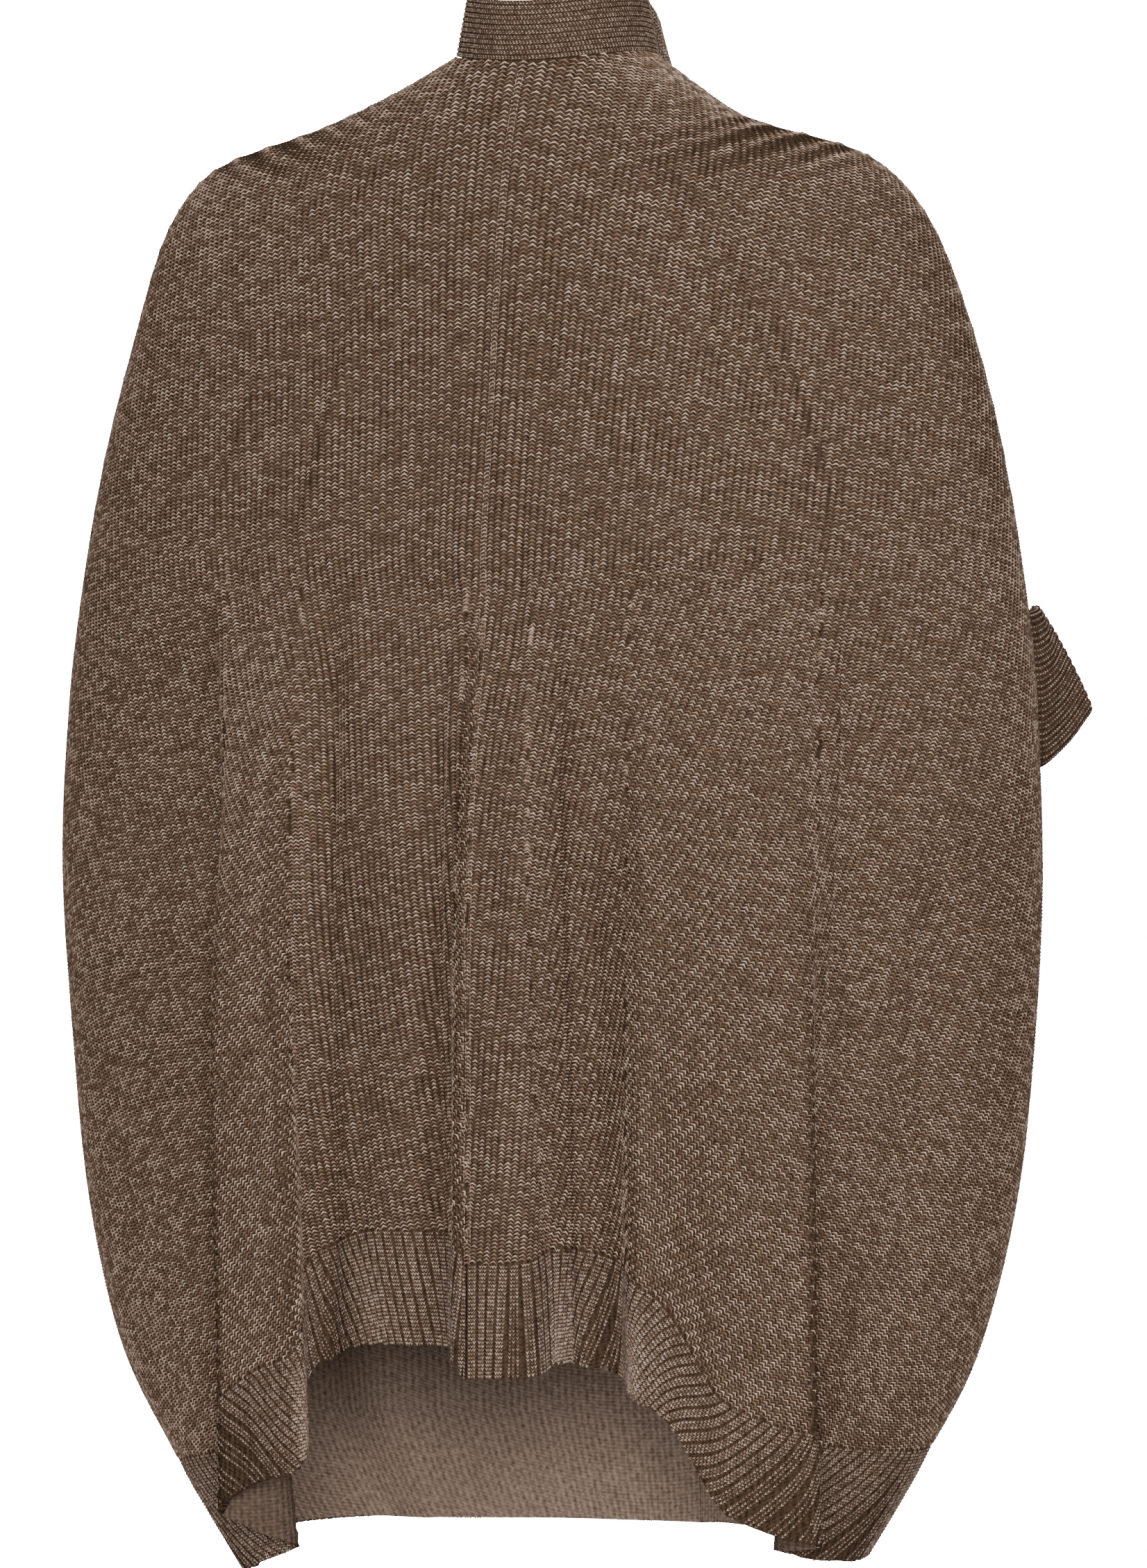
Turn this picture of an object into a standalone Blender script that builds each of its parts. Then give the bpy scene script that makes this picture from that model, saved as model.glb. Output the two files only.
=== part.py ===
"""Open-front knitted cardigan, hollow as worn, seen in the photograph from behind.

Metres, +Z up, the front faces -Y and the wearer's left is +X. The origin is the middle of the neck
where the garment rests on the wearer. Every panel is a thin wall on one shared body form: rings from
the neck to the hem, pleated by a table of folds, and trimmed by the hem line. Angles round the body
start at the centre back and are positive towards the wearer's right.
"""
import math

import bmesh
import bpy
import numpy as np

MM = 0.001

# Driving dimensions, in millimetres unless a name says otherwise.
WALL = 2.4
BAND_WALL = 2.8
SEAM_GAP = 0.4
RIB_PITCH = 6.4
RIB_HEIGHT = 0.9
HEM_RIB_DEPTH = 66.0
BAND_WIDTH = 36.0
BAND_RIBS = 6
BAND_FLAT_Z = -75.0
COLLAR_LEAN = math.radians(10.0)
VIEW_TURN = math.radians(20.0)
FRONT_LAYER_STEP = 3.2

# The body form, a ring a row. Reaches are the half widths seen by the photograph, which looks at
# the back turned by VIEW_TURN; heights and depths are taken at the side, centre back and front.
# Seams and the front edge are degrees round the body from the centre back.
RING_COLUMNS = ("side_z", "reach_left", "reach_right", "back_z", "back_y", "front_z", "front_y",
                "seam_left", "seam_right", "edge")
RINGS = (
    (0.0, 63.0, 56.0, -8.0, 66.0, -20.0, 60.0, 97.0, 97.0, 112.0),      # neck
    (-16.0, 92.0, 77.0, -34.0, 80.0, -50.0, 74.0, 97.0, 97.0, 129.0),
    (-38.0, 140.0, 108.0, -66.0, 91.0, -84.0, 87.0, 97.0, 97.0, 151.0),
    (-62.0, 208.0, 178.0, -112.0, 101.0, -128.0, 100.0, 98.0, 98.0, 165.0),  # shoulder
    (-95.0, 235.0, 210.0, -156.0, 107.0, -170.0, 108.0, 99.0, 99.0, 169.0),
    (-163.0, 257.0, 237.0, -212.0, 114.0, -226.0, 116.0, 103.0, 103.0, 173.0),
    (-261.0, 280.0, 259.0, -292.0, 125.0, -300.0, 124.0, 111.0, 111.0, 177.0),  # elbow
    (-384.0, 294.0, 274.0, -392.0, 139.0, -396.0, 132.0, 111.0, 111.0, 181.0),
    (-481.0, 298.0, 277.0, -481.0, 146.0, -481.0, 137.0, 107.0, 107.0, 182.5),
    (-628.0, 289.0, 268.0, -628.0, 150.0, -628.0, 142.0, 98.0, 102.0, 185.0),
    (-751.0, 266.0, 243.0, -751.0, 149.0, -751.0, 144.0, 91.0, 100.0, 187.5),
    (-824.0, 231.0, 208.0, -824.0, 146.0, -824.0, 143.0, 87.0, 99.0, 190.0),
    (-900.0, 183.0, 165.0, -900.0, 142.0, -900.0, 141.0, 84.0, 99.0, 194.0),
)
LEVEL_OF_ELBOW = 6.0
UPPER_LEVELS = (0.0, 0.7, 1.4, 2.1, 2.6, 3.0, 3.4, 3.9, 4.6, 5.3, 6.0)
UPPER_SHARE = 0.4
HEM_SHARE = 0.93

# The folds of each cloth, in order round the body. On the back a place is the distance across from
# the neck's middle as the photograph sees it; on the fronts it is a share of the way from the side
# seam to the front edge: first at the elbow, then at the hem. A cloth's two ends have no place. The
# cloth turns by the given angle over twice the half width, stepping outwards where that is positive;
# past a right angle it doubles back as a flat pleat. Starts are shares of the drop below the elbow.
# Hem heights are just before the fold, just after it, and midway to the next one.
FOLD_COLUMNS = ("name", "place_top", "place_hem", "half_width", "turn", "start",
                "hem_before", "hem_after", "hem_next")
BACK_FOLDS = (
    ("left_side", None, None, 0.0, 0.0, 0.0, -895.0, -893.0, -885.0),
    ("left_pleat", -197.0, -168.0, 24.0, 138.0, 0.06, -872.0, -846.0, -831.0),
    ("left_roll", -152.0, -137.0, 18.0, -115.0, 0.02, -821.0, -761.0, -749.0),
    ("ridge_left", -56.0, -57.0, 14.0, 75.0, 0.06, -749.0, -760.0, -767.0),
    ("centre_seam", -46.0, -46.0, 0.0, 0.0, 0.0, -767.0, -766.0, -766.0),
    ("ridge_right", -19.0, -6.0, 14.0, -72.0, 0.06, -765.0, -757.0, -759.0),
    ("right_roll", 38.0, 38.0, 16.0, 70.0, 0.20, -763.0, -779.0, -844.0),
    ("right_pleat", 148.0, 127.0, 21.0, -130.0, 0.06, -861.0, -868.0, -875.0),
    ("right_side", None, None, 0.0, 0.0, 0.0, -878.0, -878.0, -878.0),
)
FRONT_FOLDS = {
    "front_left": (
        ("side", None, None, 0.0, 0.0, 0.0, -895.0, -893.0, -887.0),
        ("outer_pleat", 0.20, 0.16, 22.0, 120.0, 0.12, -883.0, -881.0, -875.0),
        ("inner_roll", 0.46, 0.50, 30.0, -40.0, 0.10, -873.0, -872.0, -872.0),
        ("edge", None, None, 0.0, 0.0, 0.0, -872.0, -872.0, -872.0),
    ),
    "front_right": (
        ("side", None, None, 0.0, 0.0, 0.0, -878.0, -878.0, -877.0),
        ("outer_pleat", 0.42, 0.38, 22.0, 120.0, 0.15, -876.0, -875.0, -874.0),
        ("inner_pleat", 0.58, 0.56, 22.0, -120.0, 0.08, -873.0, -873.0, -872.0),
        ("edge", None, None, 0.0, 0.0, 0.0, -872.0, -872.0, -872.0),
    ),
}
FOLD_ZONE = 0.25
PLACE_POWER = 1.3
NARROW_START = 0.4
GROWTH_POWER = 0.65
FINE_SPAN = 17.0
COARSE_SPAN = 30.0

# The slit for each arm, in the side seam, and the cuff sewn round it. The cuff starts straight out
# from the body and bends; its open end is a flat loop, given by shares of its direction outwards,
# forwards round the body, and up.
SLIT_TOP_Z = -334.0
SLIT_BOTTOM_Z = -412.0
SLIT_HALF = 9.0
CUFF_WALL = 2.0
CUFF_HALF = 14.0
CUFF_HALF_HEIGHT = 45.0
CUFF_STRAIGHT = 5.0
CUFF_MOUTH = (29.0, 12.0, 18.0)
CUFF_MOUTH_HALF = 12.0
CUFF_MOUTH_HALF_HEIGHT = 35.0
CUFF_MOUTH_DOWN = (0.434, -0.177, -0.885)

COLOURS = {
    "body": (0.165, 0.115, 0.084),
    "band": (0.150, 0.108, 0.084),
}
CLOTH_ROUGHNESS = 0.92


def smooth(x):
    """Ease from 0 to 1, level at both ends."""
    x = np.clip(x, 0.0, 1.0)
    return x * x * (3.0 - 2.0 * x)


def unit(vectors):
    return vectors / np.linalg.norm(vectors, axis=-1, keepdims=True)


def curve(xs, ys, x):
    """Smooth curve through the points (xs, ys) that never overshoots them."""
    xs = np.asarray(xs, float)
    ys = np.asarray(ys, float)
    step = np.diff(xs)
    rise = np.diff(ys) / step
    slope = np.zeros(len(xs))
    before, after = rise[:-1], rise[1:]
    same = before * after > 0.0
    total = np.where(same, before + after, 1.0)
    slope[1:-1] = np.where(same, 2.0 * before * after / total, 0.0)
    slope[0], slope[-1] = rise[0], rise[-1]
    x = np.clip(np.asarray(x, float), xs[0], xs[-1])
    i = np.clip(np.searchsorted(xs, x, side="right") - 1, 0, len(xs) - 2)
    t = (x - xs[i]) / step[i]
    ease = t * t * (3.0 - 2.0 * t)
    start = t * (1.0 - t) ** 2 * step[i] * slope[i]
    end = t * t * (t - 1.0) * step[i] * slope[i + 1]
    return ys[i] * (1.0 - ease) + ys[i + 1] * ease + start + end


def ring(level):
    """Every column of the ring table at a level, in rows from the neck down."""
    rows = np.arange(len(RINGS))
    table = np.array(RINGS)
    return {name: curve(rows, table[:, i], level) for i, name in enumerate(RING_COLUMNS)}


def half_widths(form, angle):
    """Half width and half depth of the ring at each angle."""
    depth = np.where(np.cos(angle) >= 0.0, form["back_y"], form["front_y"])
    left = np.sqrt(form["reach_left"] ** 2 - (form["back_y"] * math.sin(VIEW_TURN)) ** 2)
    right = np.sqrt(form["reach_right"] ** 2 - (form["front_y"] * math.sin(VIEW_TURN)) ** 2)
    on_left = np.sin(angle) < 0.0
    width = np.where(on_left, left, right) / math.cos(VIEW_TURN)
    return width, depth


def ring_height(form, angle):
    """Height of the ring at each angle, between its side and its middle heights."""
    middle = np.where(np.cos(angle) >= 0.0, form["back_z"], form["front_z"])
    return form["side_z"] * np.sin(angle) ** 2 + middle * np.cos(angle) ** 2


def level_at(angle, height):
    """The level at which the body form has a height, at each angle."""
    levels = np.linspace(0.0, len(RINGS) - 1.0, 240)
    form = ring(levels)
    found = [np.interp(-z, -ring_height(form, a), levels) for a, z in zip(angle, height)]
    return np.array(found)


def angle_seen(across, form):
    """Angle round the back of what the photograph sees at a distance across from the neck."""
    angle = 0.0
    for side in (1.0, -1.0):
        width, depth = half_widths(form, np.array([0.01 * side]))
        wide = width[0] * math.cos(VIEW_TURN)
        deep = depth[0] * math.sin(VIEW_TURN)
        angle = math.atan2(deep, wide) + math.asin(across / math.hypot(wide, deep))
        if angle * side >= 0.0:
            return angle
    return angle


def slit_opening(height):
    """Half the width of the arm's slit at a height."""
    along = np.clip((height - SLIT_BOTTOM_Z) / (SLIT_TOP_Z - SLIT_BOTTOM_Z), 0.0, 1.0)
    return SLIT_HALF * np.sqrt(np.sin(math.pi * along))


class Cloth:
    """One stretch of cloth round the body, with its folds. A column is a number along it: each fold
    has a whole number, and a fold's own zone reaches FOLD_ZONE to both sides of that."""

    def __init__(self, name, folds):
        self.name = name
        self.side = -1.0 if name.endswith("left") else 1.0
        self.folds = [dict(zip(FOLD_COLUMNS, row)) for row in folds]
        self.zone = [FOLD_ZONE if fold["half_width"] else 0.0 for fold in self.folds]
        marks = []
        for i, fold in enumerate(self.folds):
            marks += [(i - FOLD_ZONE, fold["hem_before"]), (i + FOLD_ZONE, fold["hem_after"]),
                      (i + 0.5, fold["hem_next"])]
        self.hem_marks = np.array(marks[1:-2])

    def fold_angle(self, index, drop, form):
        """Angle round the body of the middle of a fold, or of the cloth's end."""
        fold = self.folds[index]
        is_side = index == 0 or fold["name"] == "right_side"
        if drop > 0.0:
            about = np.array([math.pi / 2.0 if is_side else 0.0 if self.name == "back" else math.pi])
            start = ring_height(ring(LEVEL_OF_ELBOW), about)
            form = ring(level_at(about, self.dropped(start, np.array([index], float), drop))[0])
        if fold["place_top"] is None:
            on_right = fold["name"] == "right_side" or self.name == "front_right"
            seam = form["seam_right"] if on_right else form["seam_left"]
            turn = math.radians(seam if is_side else form["edge"])
            return turn if on_right else -turn
        place = fold["place_top"] + (fold["place_hem"] - fold["place_top"]) * max(drop, 0.0) ** PLACE_POWER
        if self.name != "back":
            seam = form["seam_left"] if self.side < 0.0 else form["seam_right"]
            return self.side * math.radians(seam + (form["edge"] - seam) * place)
        if drop > 0.0:
            return angle_seen(place, form)
        elbow = ring(LEVEL_OF_ELBOW)
        return angle_seen(place, elbow) * form["seam_right"] / elbow["seam_right"]

    def dropped(self, start, columns, drop):
        """Height of the cloth at a share of the drop from its height at the elbow to the hem."""
        body = (HEM_SHARE - UPPER_SHARE) / (1.0 - UPPER_SHARE)
        rib_top = self.hem_height(columns) + HEM_RIB_DEPTH
        if drop <= body:
            return start + (rib_top - start) * drop / body
        return rib_top - HEM_RIB_DEPTH * (drop - body) / (1.0 - body)

    def fold_step(self, turn, spot):
        """How far along and how far out the cloth is at a spot from -1 to 1 within a fold, and at
        the fold's end, for a half width of 1."""
        spots = np.linspace(-1.0, 1.0, 81)
        lean = turn * (1.0 - np.abs(spots) ** 3) ** 2
        middle = (lean[1:] + lean[:-1]) / 2.0
        reach = spots[1] - spots[0]
        along = np.concatenate(([0.0], np.cumsum(np.cos(middle)) * reach))
        out = np.concatenate(([0.0], np.cumsum(np.sin(middle)) * reach))
        along -= along[-1] / 2.0
        return np.interp(spot, spots, along), np.interp(spot, spots, out), along[-1], out[-1]

    def room(self, index, centres, metric):
        """How far a fold may reach to each side before it meets the next fold."""
        own = self.folds[index]["half_width"]
        if not own:
            return 0.0
        shares = [own / (own + self.folds[i]["half_width"]) for i in (index - 1, index + 1)]
        gaps = np.abs(np.diff(centres[index - 1:index + 2])) * metric
        return 0.85 * min(gaps * shares)

    def plan(self, columns, drop, form):
        """Angle round the body and step outwards of each column, at a share of the drop."""
        centres = np.array([self.fold_angle(i, drop, form) for i in range(len(self.folds))])
        width, depth = half_widths(form, centres)
        metrics = np.hypot(width * np.cos(centres), depth * np.sin(centres))
        turned = 1.0 if self.name == "back" else self.side
        angle = np.zeros(len(columns))
        out = np.zeros(len(columns))
        level_out = 0.0
        last_end = centres[0]
        for i, fold in enumerate(self.folds):
            late = (drop - fold["start"]) / (0.9 - fold["start"])
            grown = smooth(max(late, 0.0) ** GROWTH_POWER)
            spot = (columns - i) / FOLD_ZONE
            along, step, half_along, full_step = self.fold_step(math.radians(fold["turn"]) * grown, spot)
            half_width = fold["half_width"] * (NARROW_START + (1.0 - NARROW_START) * math.sqrt(grown))
            half_width = min(half_width, self.room(i, centres, metrics[i]) / max(half_along, 0.1))
            per_width = turned * half_width / metrics[i]
            if self.zone[i]:
                inside = np.abs(spot) <= 1.0
                angle[inside] = centres[i] + along[inside] * per_width
                out[inside] = level_out + step[inside] * half_width
            if i:
                low = i - 1 + self.zone[i - 1]
                high = i - self.zone[i]
                span = (columns >= low) & (columns <= high)
                share = (columns[span] - low) / (high - low)
                angle[span] = last_end + (centres[i] - half_along * per_width - last_end) * share
                out[span] = level_out
            level_out += full_step * half_width
            last_end = centres[i] + half_along * per_width
        last = len(self.folds) - 1.0
        beyond = np.minimum(columns, 0.0) + np.maximum(columns - last, 0.0)
        angle += np.where(columns < 0.0, centres[0], 0.0) + np.where(columns > last, centres[-1], 0.0)
        angle += turned * 0.1 * beyond
        out[columns > last] = level_out
        return angle, out - level_out * np.clip(columns / last, 0.0, 1.0)

    def hem_height(self, columns):
        """Height of the hem at each column."""
        return curve(self.hem_marks[:, 0], self.hem_marks[:, 1], columns)

    def place(self, columns, row):
        """Angle, half width, half depth, step outwards and height of the cloth at each column, at a
        share of the way from the neck to the hem."""
        drop = (row - UPPER_SHARE) / (1.0 - UPPER_SHARE)
        form = ring(LEVEL_OF_ELBOW * min(row / UPPER_SHARE, 1.0))
        angle, out = self.plan(columns, drop, form)
        height = ring_height(form, angle)
        if drop > 0.0:
            height = self.dropped(height, columns, drop)
            form = ring(level_at(angle, height))
        angle = self.open_slit(angle, height, columns, form)
        width, depth = half_widths(form, angle)
        return angle, width, depth, out + self.layer_step(angle, height), height

    def points(self, columns, row):
        """Points of the cloth's outer face at each column of a row."""
        angle, width, depth, out, height = self.place(np.asarray(columns, float), row)
        x = -width * np.sin(angle)
        y = depth * np.cos(angle)
        away = unit(np.stack((x / width ** 2, y / depth ** 2), axis=-1))
        return np.stack((x + away[:, 0] * out, y + away[:, 1] * out, height), axis=-1)

    def open_slit(self, angle, height, columns, form):
        """Move the cloth beside the arm's slit apart."""
        last = len(self.folds) - 1.0
        width, depth = half_widths(form, angle)
        metric = np.hypot(width * np.cos(angle), depth * np.sin(angle))
        gap = slit_opening(height) / metric
        if self.name == "back":
            near_left = smooth(1.0 - columns / 0.6)
            near_right = smooth(1.0 - (last - columns) / 0.6)
            return angle + gap * near_left - gap * near_right
        return angle + self.side * gap * smooth(1.0 - columns / 0.6)

    def layer_step(self, angle, height):
        """Right front outside, left front inside, where the fronts overlap."""
        if self.name == "back":
            return 0.0
        near = smooth((np.abs(angle) - math.radians(138.0)) / math.radians(22.0))
        below = smooth((-80.0 - height) / 90.0)
        return self.side * FRONT_LAYER_STEP * near * below

    def normals(self, columns, row):
        """Outward directions at each column of a row. Two cloths share them along their side seam."""
        columns = np.asarray(columns, float)
        near = 0.02
        across = self.points(columns + near, row) - self.points(columns - near, row)
        angle, width, depth, _, _ = self.place(columns, row)
        round_body = np.stack((-width * np.cos(angle), -depth * np.sin(angle), 0.0 * angle), axis=-1)
        at_side = columns < near
        if self.name == "back":
            at_side |= columns > len(self.folds) - 1.0 - near
        across[at_side] = (round_body * (self.side if self.name != "back" else 1.0))[at_side]
        up = self.points(columns, max(row - 0.004, 0.0)) - self.points(columns, min(row + 0.004, 1.0))
        return unit(np.cross(across, up)) * (-1.0 if self.name == "front_left" else 1.0)


def stitch(low, high, low_marks, high_marks):
    """Triangles between two rows of vertex numbers, paired by their marks along the row."""
    faces = []
    i = j = 0
    while i < len(low) - 1 or j < len(high) - 1:
        next_low = low_marks[i + 1] if i < len(low) - 1 else math.inf
        next_high = high_marks[j + 1] if j < len(high) - 1 else math.inf
        if next_low - high_marks[j] <= next_high - low_marks[i]:
            faces.append((low[i], low[i + 1], high[j]))
            i += 1
        else:
            faces.append((low[i], high[j + 1], high[j]))
            j += 1
    return faces


class Wall:
    """A closed wall built from rows of points on its outer and inner faces."""

    def __init__(self):
        self.points = []
        self.faces = []

    def add_row(self, points):
        first = len(self.points)
        self.points.extend(points)
        return list(range(first, len(self.points)))

    def join(self, low, high, low_marks, high_marks):
        if len(low) == len(high):
            pairs = zip(zip(low, low[1:]), zip(high, high[1:]))
            self.faces += [(a, b, d, c) for (a, b), (c, d) in pairs]
        else:
            self.faces += stitch(low, high, low_marks, high_marks)

    def build(self, name, colour):
        """One named object from the wall, with its own material."""
        mesh = bpy.data.meshes.new(name)
        mesh.from_pydata([tuple(p * MM) for p in self.points], [], self.faces)
        mesh.validate()
        face_outwards(mesh)
        mesh.shade_smooth()
        mesh.set_sharp_from_angle(angle=math.radians(50.0))
        mesh.materials.append(cloth_material(name, colour))
        built = bpy.data.objects.new(name, mesh)
        bpy.context.scene.collection.objects.link(built)
        return built


def face_outwards(mesh):
    """Turn every face of a closed mesh outwards."""
    work = bmesh.new()
    work.from_mesh(mesh)
    bmesh.ops.recalc_face_normals(work, faces=work.faces)
    if work.calc_volume(signed=True) < 0.0:
        bmesh.ops.reverse_faces(work, faces=work.faces)
    work.to_mesh(mesh)
    work.free()


def cloth_material(name, colour):
    material = bpy.data.materials.new(name + "_knit")
    material.use_nodes = True
    shader = material.node_tree.nodes["Principled BSDF"]
    shader.inputs["Base Color"].default_value = (*COLOURS[colour], 1.0)
    shader.inputs["Roughness"].default_value = CLOTH_ROUGHNESS
    shader.inputs["Metallic"].default_value = 0.0
    return material


def even(first, last, count):
    return list(np.linspace(first, last, count + 1))


def body_columns(cloth, first, last, fine):
    """Columns of a panel between two folds of its cloth, closer where the cloth turns."""
    columns = []
    for i in range(first, last):
        zone, next_zone = (cloth.zone[i], cloth.zone[i + 1]) if fine else (0.0, 0.0)
        if zone:
            half = 4 if abs(cloth.folds[i]["turn"]) > 100.0 else 2
            columns += even(i - zone, i + zone, 2 * half)[:-1]
        ends = cloth.points([i + zone, i + 1 - next_zone], 0.7)
        spans = max(1, round(np.linalg.norm(ends[1] - ends[0]) / (FINE_SPAN if fine else COARSE_SPAN)))
        columns += even(i + zone, i + 1 - next_zone, spans)[:-1]
    columns.append(float(last))
    return np.array(columns)


def pull_in(points, amount):
    """Move a row's two ends towards its middle, to leave a seam's gap."""
    for end, beside in ((0, 1), (-1, -2)):
        way = points[beside] - points[end]
        points[end] = points[end] + way * amount / np.linalg.norm(way)
    return points


def panel(name, cloth, first, last):
    """One panel, from one fold of its cloth to another, with its ribbed hem in the same wall."""
    coarse = body_columns(cloth, first, last, fine=False)
    fine = body_columns(cloth, first, last, fine=True)
    upper = [(level / LEVEL_OF_ELBOW * UPPER_SHARE, coarse) for level in UPPER_LEVELS]
    lower = [(row, fine) for row in even(UPPER_SHARE, HEM_SHARE, 12)[1:]]
    wall = Wall()
    outer, inner = [], []
    for row, columns in upper + lower:
        skin = pull_in(cloth.points(columns, row), SEAM_GAP / 2.0)
        lining = skin - cloth.normals(columns, row) * WALL
        outer.append((wall.add_row(skin), columns))
        inner.append((wall.add_row(lining), columns))
    ribs = rib_columns(cloth, first, last)
    raised = np.arange(len(ribs)) % 2.0
    for row in (HEM_SHARE + 0.014, 1.0):
        skin = pull_in(cloth.points(ribs, row), SEAM_GAP / 2.0)
        normals = cloth.normals(ribs, row)
        outer.append((wall.add_row(skin + normals * (raised * RIB_HEIGHT)[:, None]), ribs))
        inner.append((wall.add_row((skin - normals * WALL)[::2]), ribs[::2]))
    for rows in (outer, inner):
        for (low, low_marks), (high, high_marks) in zip(rows, rows[1:]):
            wall.join(low, high, low_marks, high_marks)
    wall.join(outer[0][0], inner[0][0], outer[0][1], inner[0][1])
    wall.join(outer[-1][0], inner[-1][0], outer[-1][1], inner[-1][1])
    for end in (0, -1):
        outer_edge = [row[end] for row, marks in outer]
        inner_edge = [row[end] for row, marks in inner]
        outer_marks = np.arange(len(outer_edge), dtype=float)
        wall.join(outer_edge, inner_edge, outer_marks, outer_marks)
    return wall.build(name, "body")


def rib_columns(cloth, first, last):
    """Columns of the hem's ribs, two for each rib."""
    samples = np.linspace(first, last, 1200)
    hem = cloth.points(samples, 1.0)
    steps = np.linalg.norm(np.diff(hem[:, :2], axis=0), axis=1)
    length = np.concatenate(([0.0], np.cumsum(steps)))
    count = 2 * round(length[-1] / RIB_PITCH)
    return np.interp(np.linspace(0.0, length[-1], count + 1), length, samples)


def seam_column(cloth):
    """The column of the centre-back seam."""
    names = [fold["name"] for fold in cloth.folds]
    return names.index("centre_seam")


def band_path(back, front_left, front_right):
    """Where the band is sewn on, from the left front's hem round the neck to the right front's: the
    points, the cloth's outward directions, and how far the band stands up rather than lies flat."""
    rows = [level / LEVEL_OF_ELBOW * UPPER_SHARE for level in UPPER_LEVELS]
    rows += even(UPPER_SHARE, HEM_SHARE, 12)[1:] + [1.0]
    edge = len(front_left.folds) - 1
    points, normals, stands = [], [], []

    def add(cloth, columns, row):
        place = cloth.points(columns, row)
        points.extend(place)
        normals.extend(cloth.normals(columns, row))
        stands.extend(smooth((place[:, 2] - BAND_FLAT_Z) / -BAND_FLAT_Z))

    for row in rows[:0:-1]:
        add(front_left, [edge], row)
    add(front_left, np.linspace(edge, 0.0, 4), 0.0)
    add(back, np.linspace(0.0, len(back.folds) - 1.0, 19)[1:-1], 0.0)
    add(front_right, np.linspace(0.0, edge, 4), 0.0)
    for row in rows[1:]:
        add(front_right, [edge], row)
    return np.array(points), np.array(normals), np.array(stands)


def collar_band(back, front_left, front_right):
    """The band round the neck and down both fronts, ribbed along its length."""
    points, normals, stands = band_path(back, front_left, front_right)
    ahead = unit(np.gradient(points, axis=0))
    flat = unit(np.cross(normals, ahead))
    inwards = -points * (1.0, 1.0, 0.0) / np.linalg.norm(points[:, :2], axis=1)[:, None]
    upright = math.cos(COLLAR_LEAN) * np.array((0.0, 0.0, 1.0)) + math.sin(COLLAR_LEAN) * inwards
    across = unit(flat * (1.0 - stands)[:, None] + upright * stands[:, None])
    outwards = unit(np.cross(ahead, across))
    outer_marks = np.linspace(0.0, 1.0, 2 * BAND_RIBS + 1)
    inner_marks = np.linspace(0.0, 1.0, 3)
    wall = Wall()
    outer, inner = [], []
    for base, way, out in zip(points, across, outwards):
        sewn = base + way * SEAM_GAP
        raised = np.arange(len(outer_marks)) % 2.0 * RIB_HEIGHT
        skin = sewn + outer_marks[:, None] * way * BAND_WIDTH + raised[:, None] * out
        lining = sewn + inner_marks[:, None] * way * BAND_WIDTH - out * BAND_WALL
        outer.append(wall.add_row(skin))
        inner.append(wall.add_row(lining))
    for rows, marks in ((outer, outer_marks), (inner, inner_marks)):
        for low, high in zip(rows, rows[1:]):
            wall.join(low, high, marks, marks)
    for edge in (0, -1):
        wall.faces += [
            (a[edge], b[edge], d[edge], c[edge])
            for (a, b), (c, d) in zip(zip(outer, outer[1:]), zip(inner, inner[1:]))
        ]
        wall.join(outer[edge], inner[edge], outer_marks, inner_marks)
    return wall.build("collar_band", "band")


def body_frame(side, beside, height):
    """A point on the body form, some way in front of the side seam, and its directions outwards,
    forwards round the body, and up."""
    form = ring(level_at(np.array([math.pi / 2.0]), np.array([height]))[0])
    angle = side * math.radians(form["seam_left"] if side < 0.0 else form["seam_right"])
    width, depth = half_widths(form, np.array([angle]))
    angle += side * beside / math.hypot(width[0] * math.cos(angle), depth[0] * math.sin(angle))
    width, depth = half_widths(form, np.array([angle]))
    point = np.array((-width[0] * math.sin(angle), depth[0] * math.cos(angle), height))
    out = unit(point * (1.0 / width[0] ** 2, 1.0 / depth[0] ** 2, 0.0))
    forwards = np.cross((0.0, 0.0, side), out)
    return point, out, forwards, np.array((0.0, 0.0, 1.0))


def oval(count, half, half_height):
    """Evenly spaced points of a long loop with round ends: how far beside and above its middle."""
    turns = np.linspace(0.0, 2.0 * math.pi, 721)
    beside = half * np.cos(turns)
    above = half * np.sin(turns) + (half_height - half) * np.clip(1.3 * np.sin(turns), -1.0, 1.0)
    steps = np.hypot(np.diff(beside), np.diff(above))
    length = np.concatenate(([0.0], np.cumsum(steps)))
    places = np.arange(count) / count * length[-1]
    return np.interp(places, length, beside), np.interp(places, length, above)


def cuff_loops(side, count):
    """Rings of points of a cuff's outer face, from the body to its open end."""
    middle_z = (SLIT_TOP_Z + SLIT_BOTTOM_Z) / 2.0
    sewn, straight = [], []
    for beside, above in zip(*oval(count, CUFF_HALF, CUFF_HALF_HEIGHT)):
        point, out, forwards, up = body_frame(side, beside, middle_z + above)
        sewn.append(point + out * SEAM_GAP)
        straight.append(point + out * (SEAM_GAP + CUFF_STRAIGHT))
    centre, *frame = body_frame(side, 0.0, middle_z)
    centre = centre + np.array(CUFF_MOUTH) @ np.array(frame)
    down = unit(np.array(CUFF_MOUTH_DOWN) @ np.array(frame))
    ahead = unit(frame[1] - down * np.dot(frame[1], down))
    mouth = [centre + ahead * beside - down * above
             for beside, above in zip(*oval(count, CUFF_MOUTH_HALF, CUFF_MOUTH_HALF_HEIGHT))]
    sewn, straight, mouth = np.array(sewn), np.array(straight), np.array(mouth)
    halfway = straight * 0.6 + mouth * 0.4 + (straight - sewn) * 0.7
    return [sewn, straight, halfway, mouth]


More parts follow.
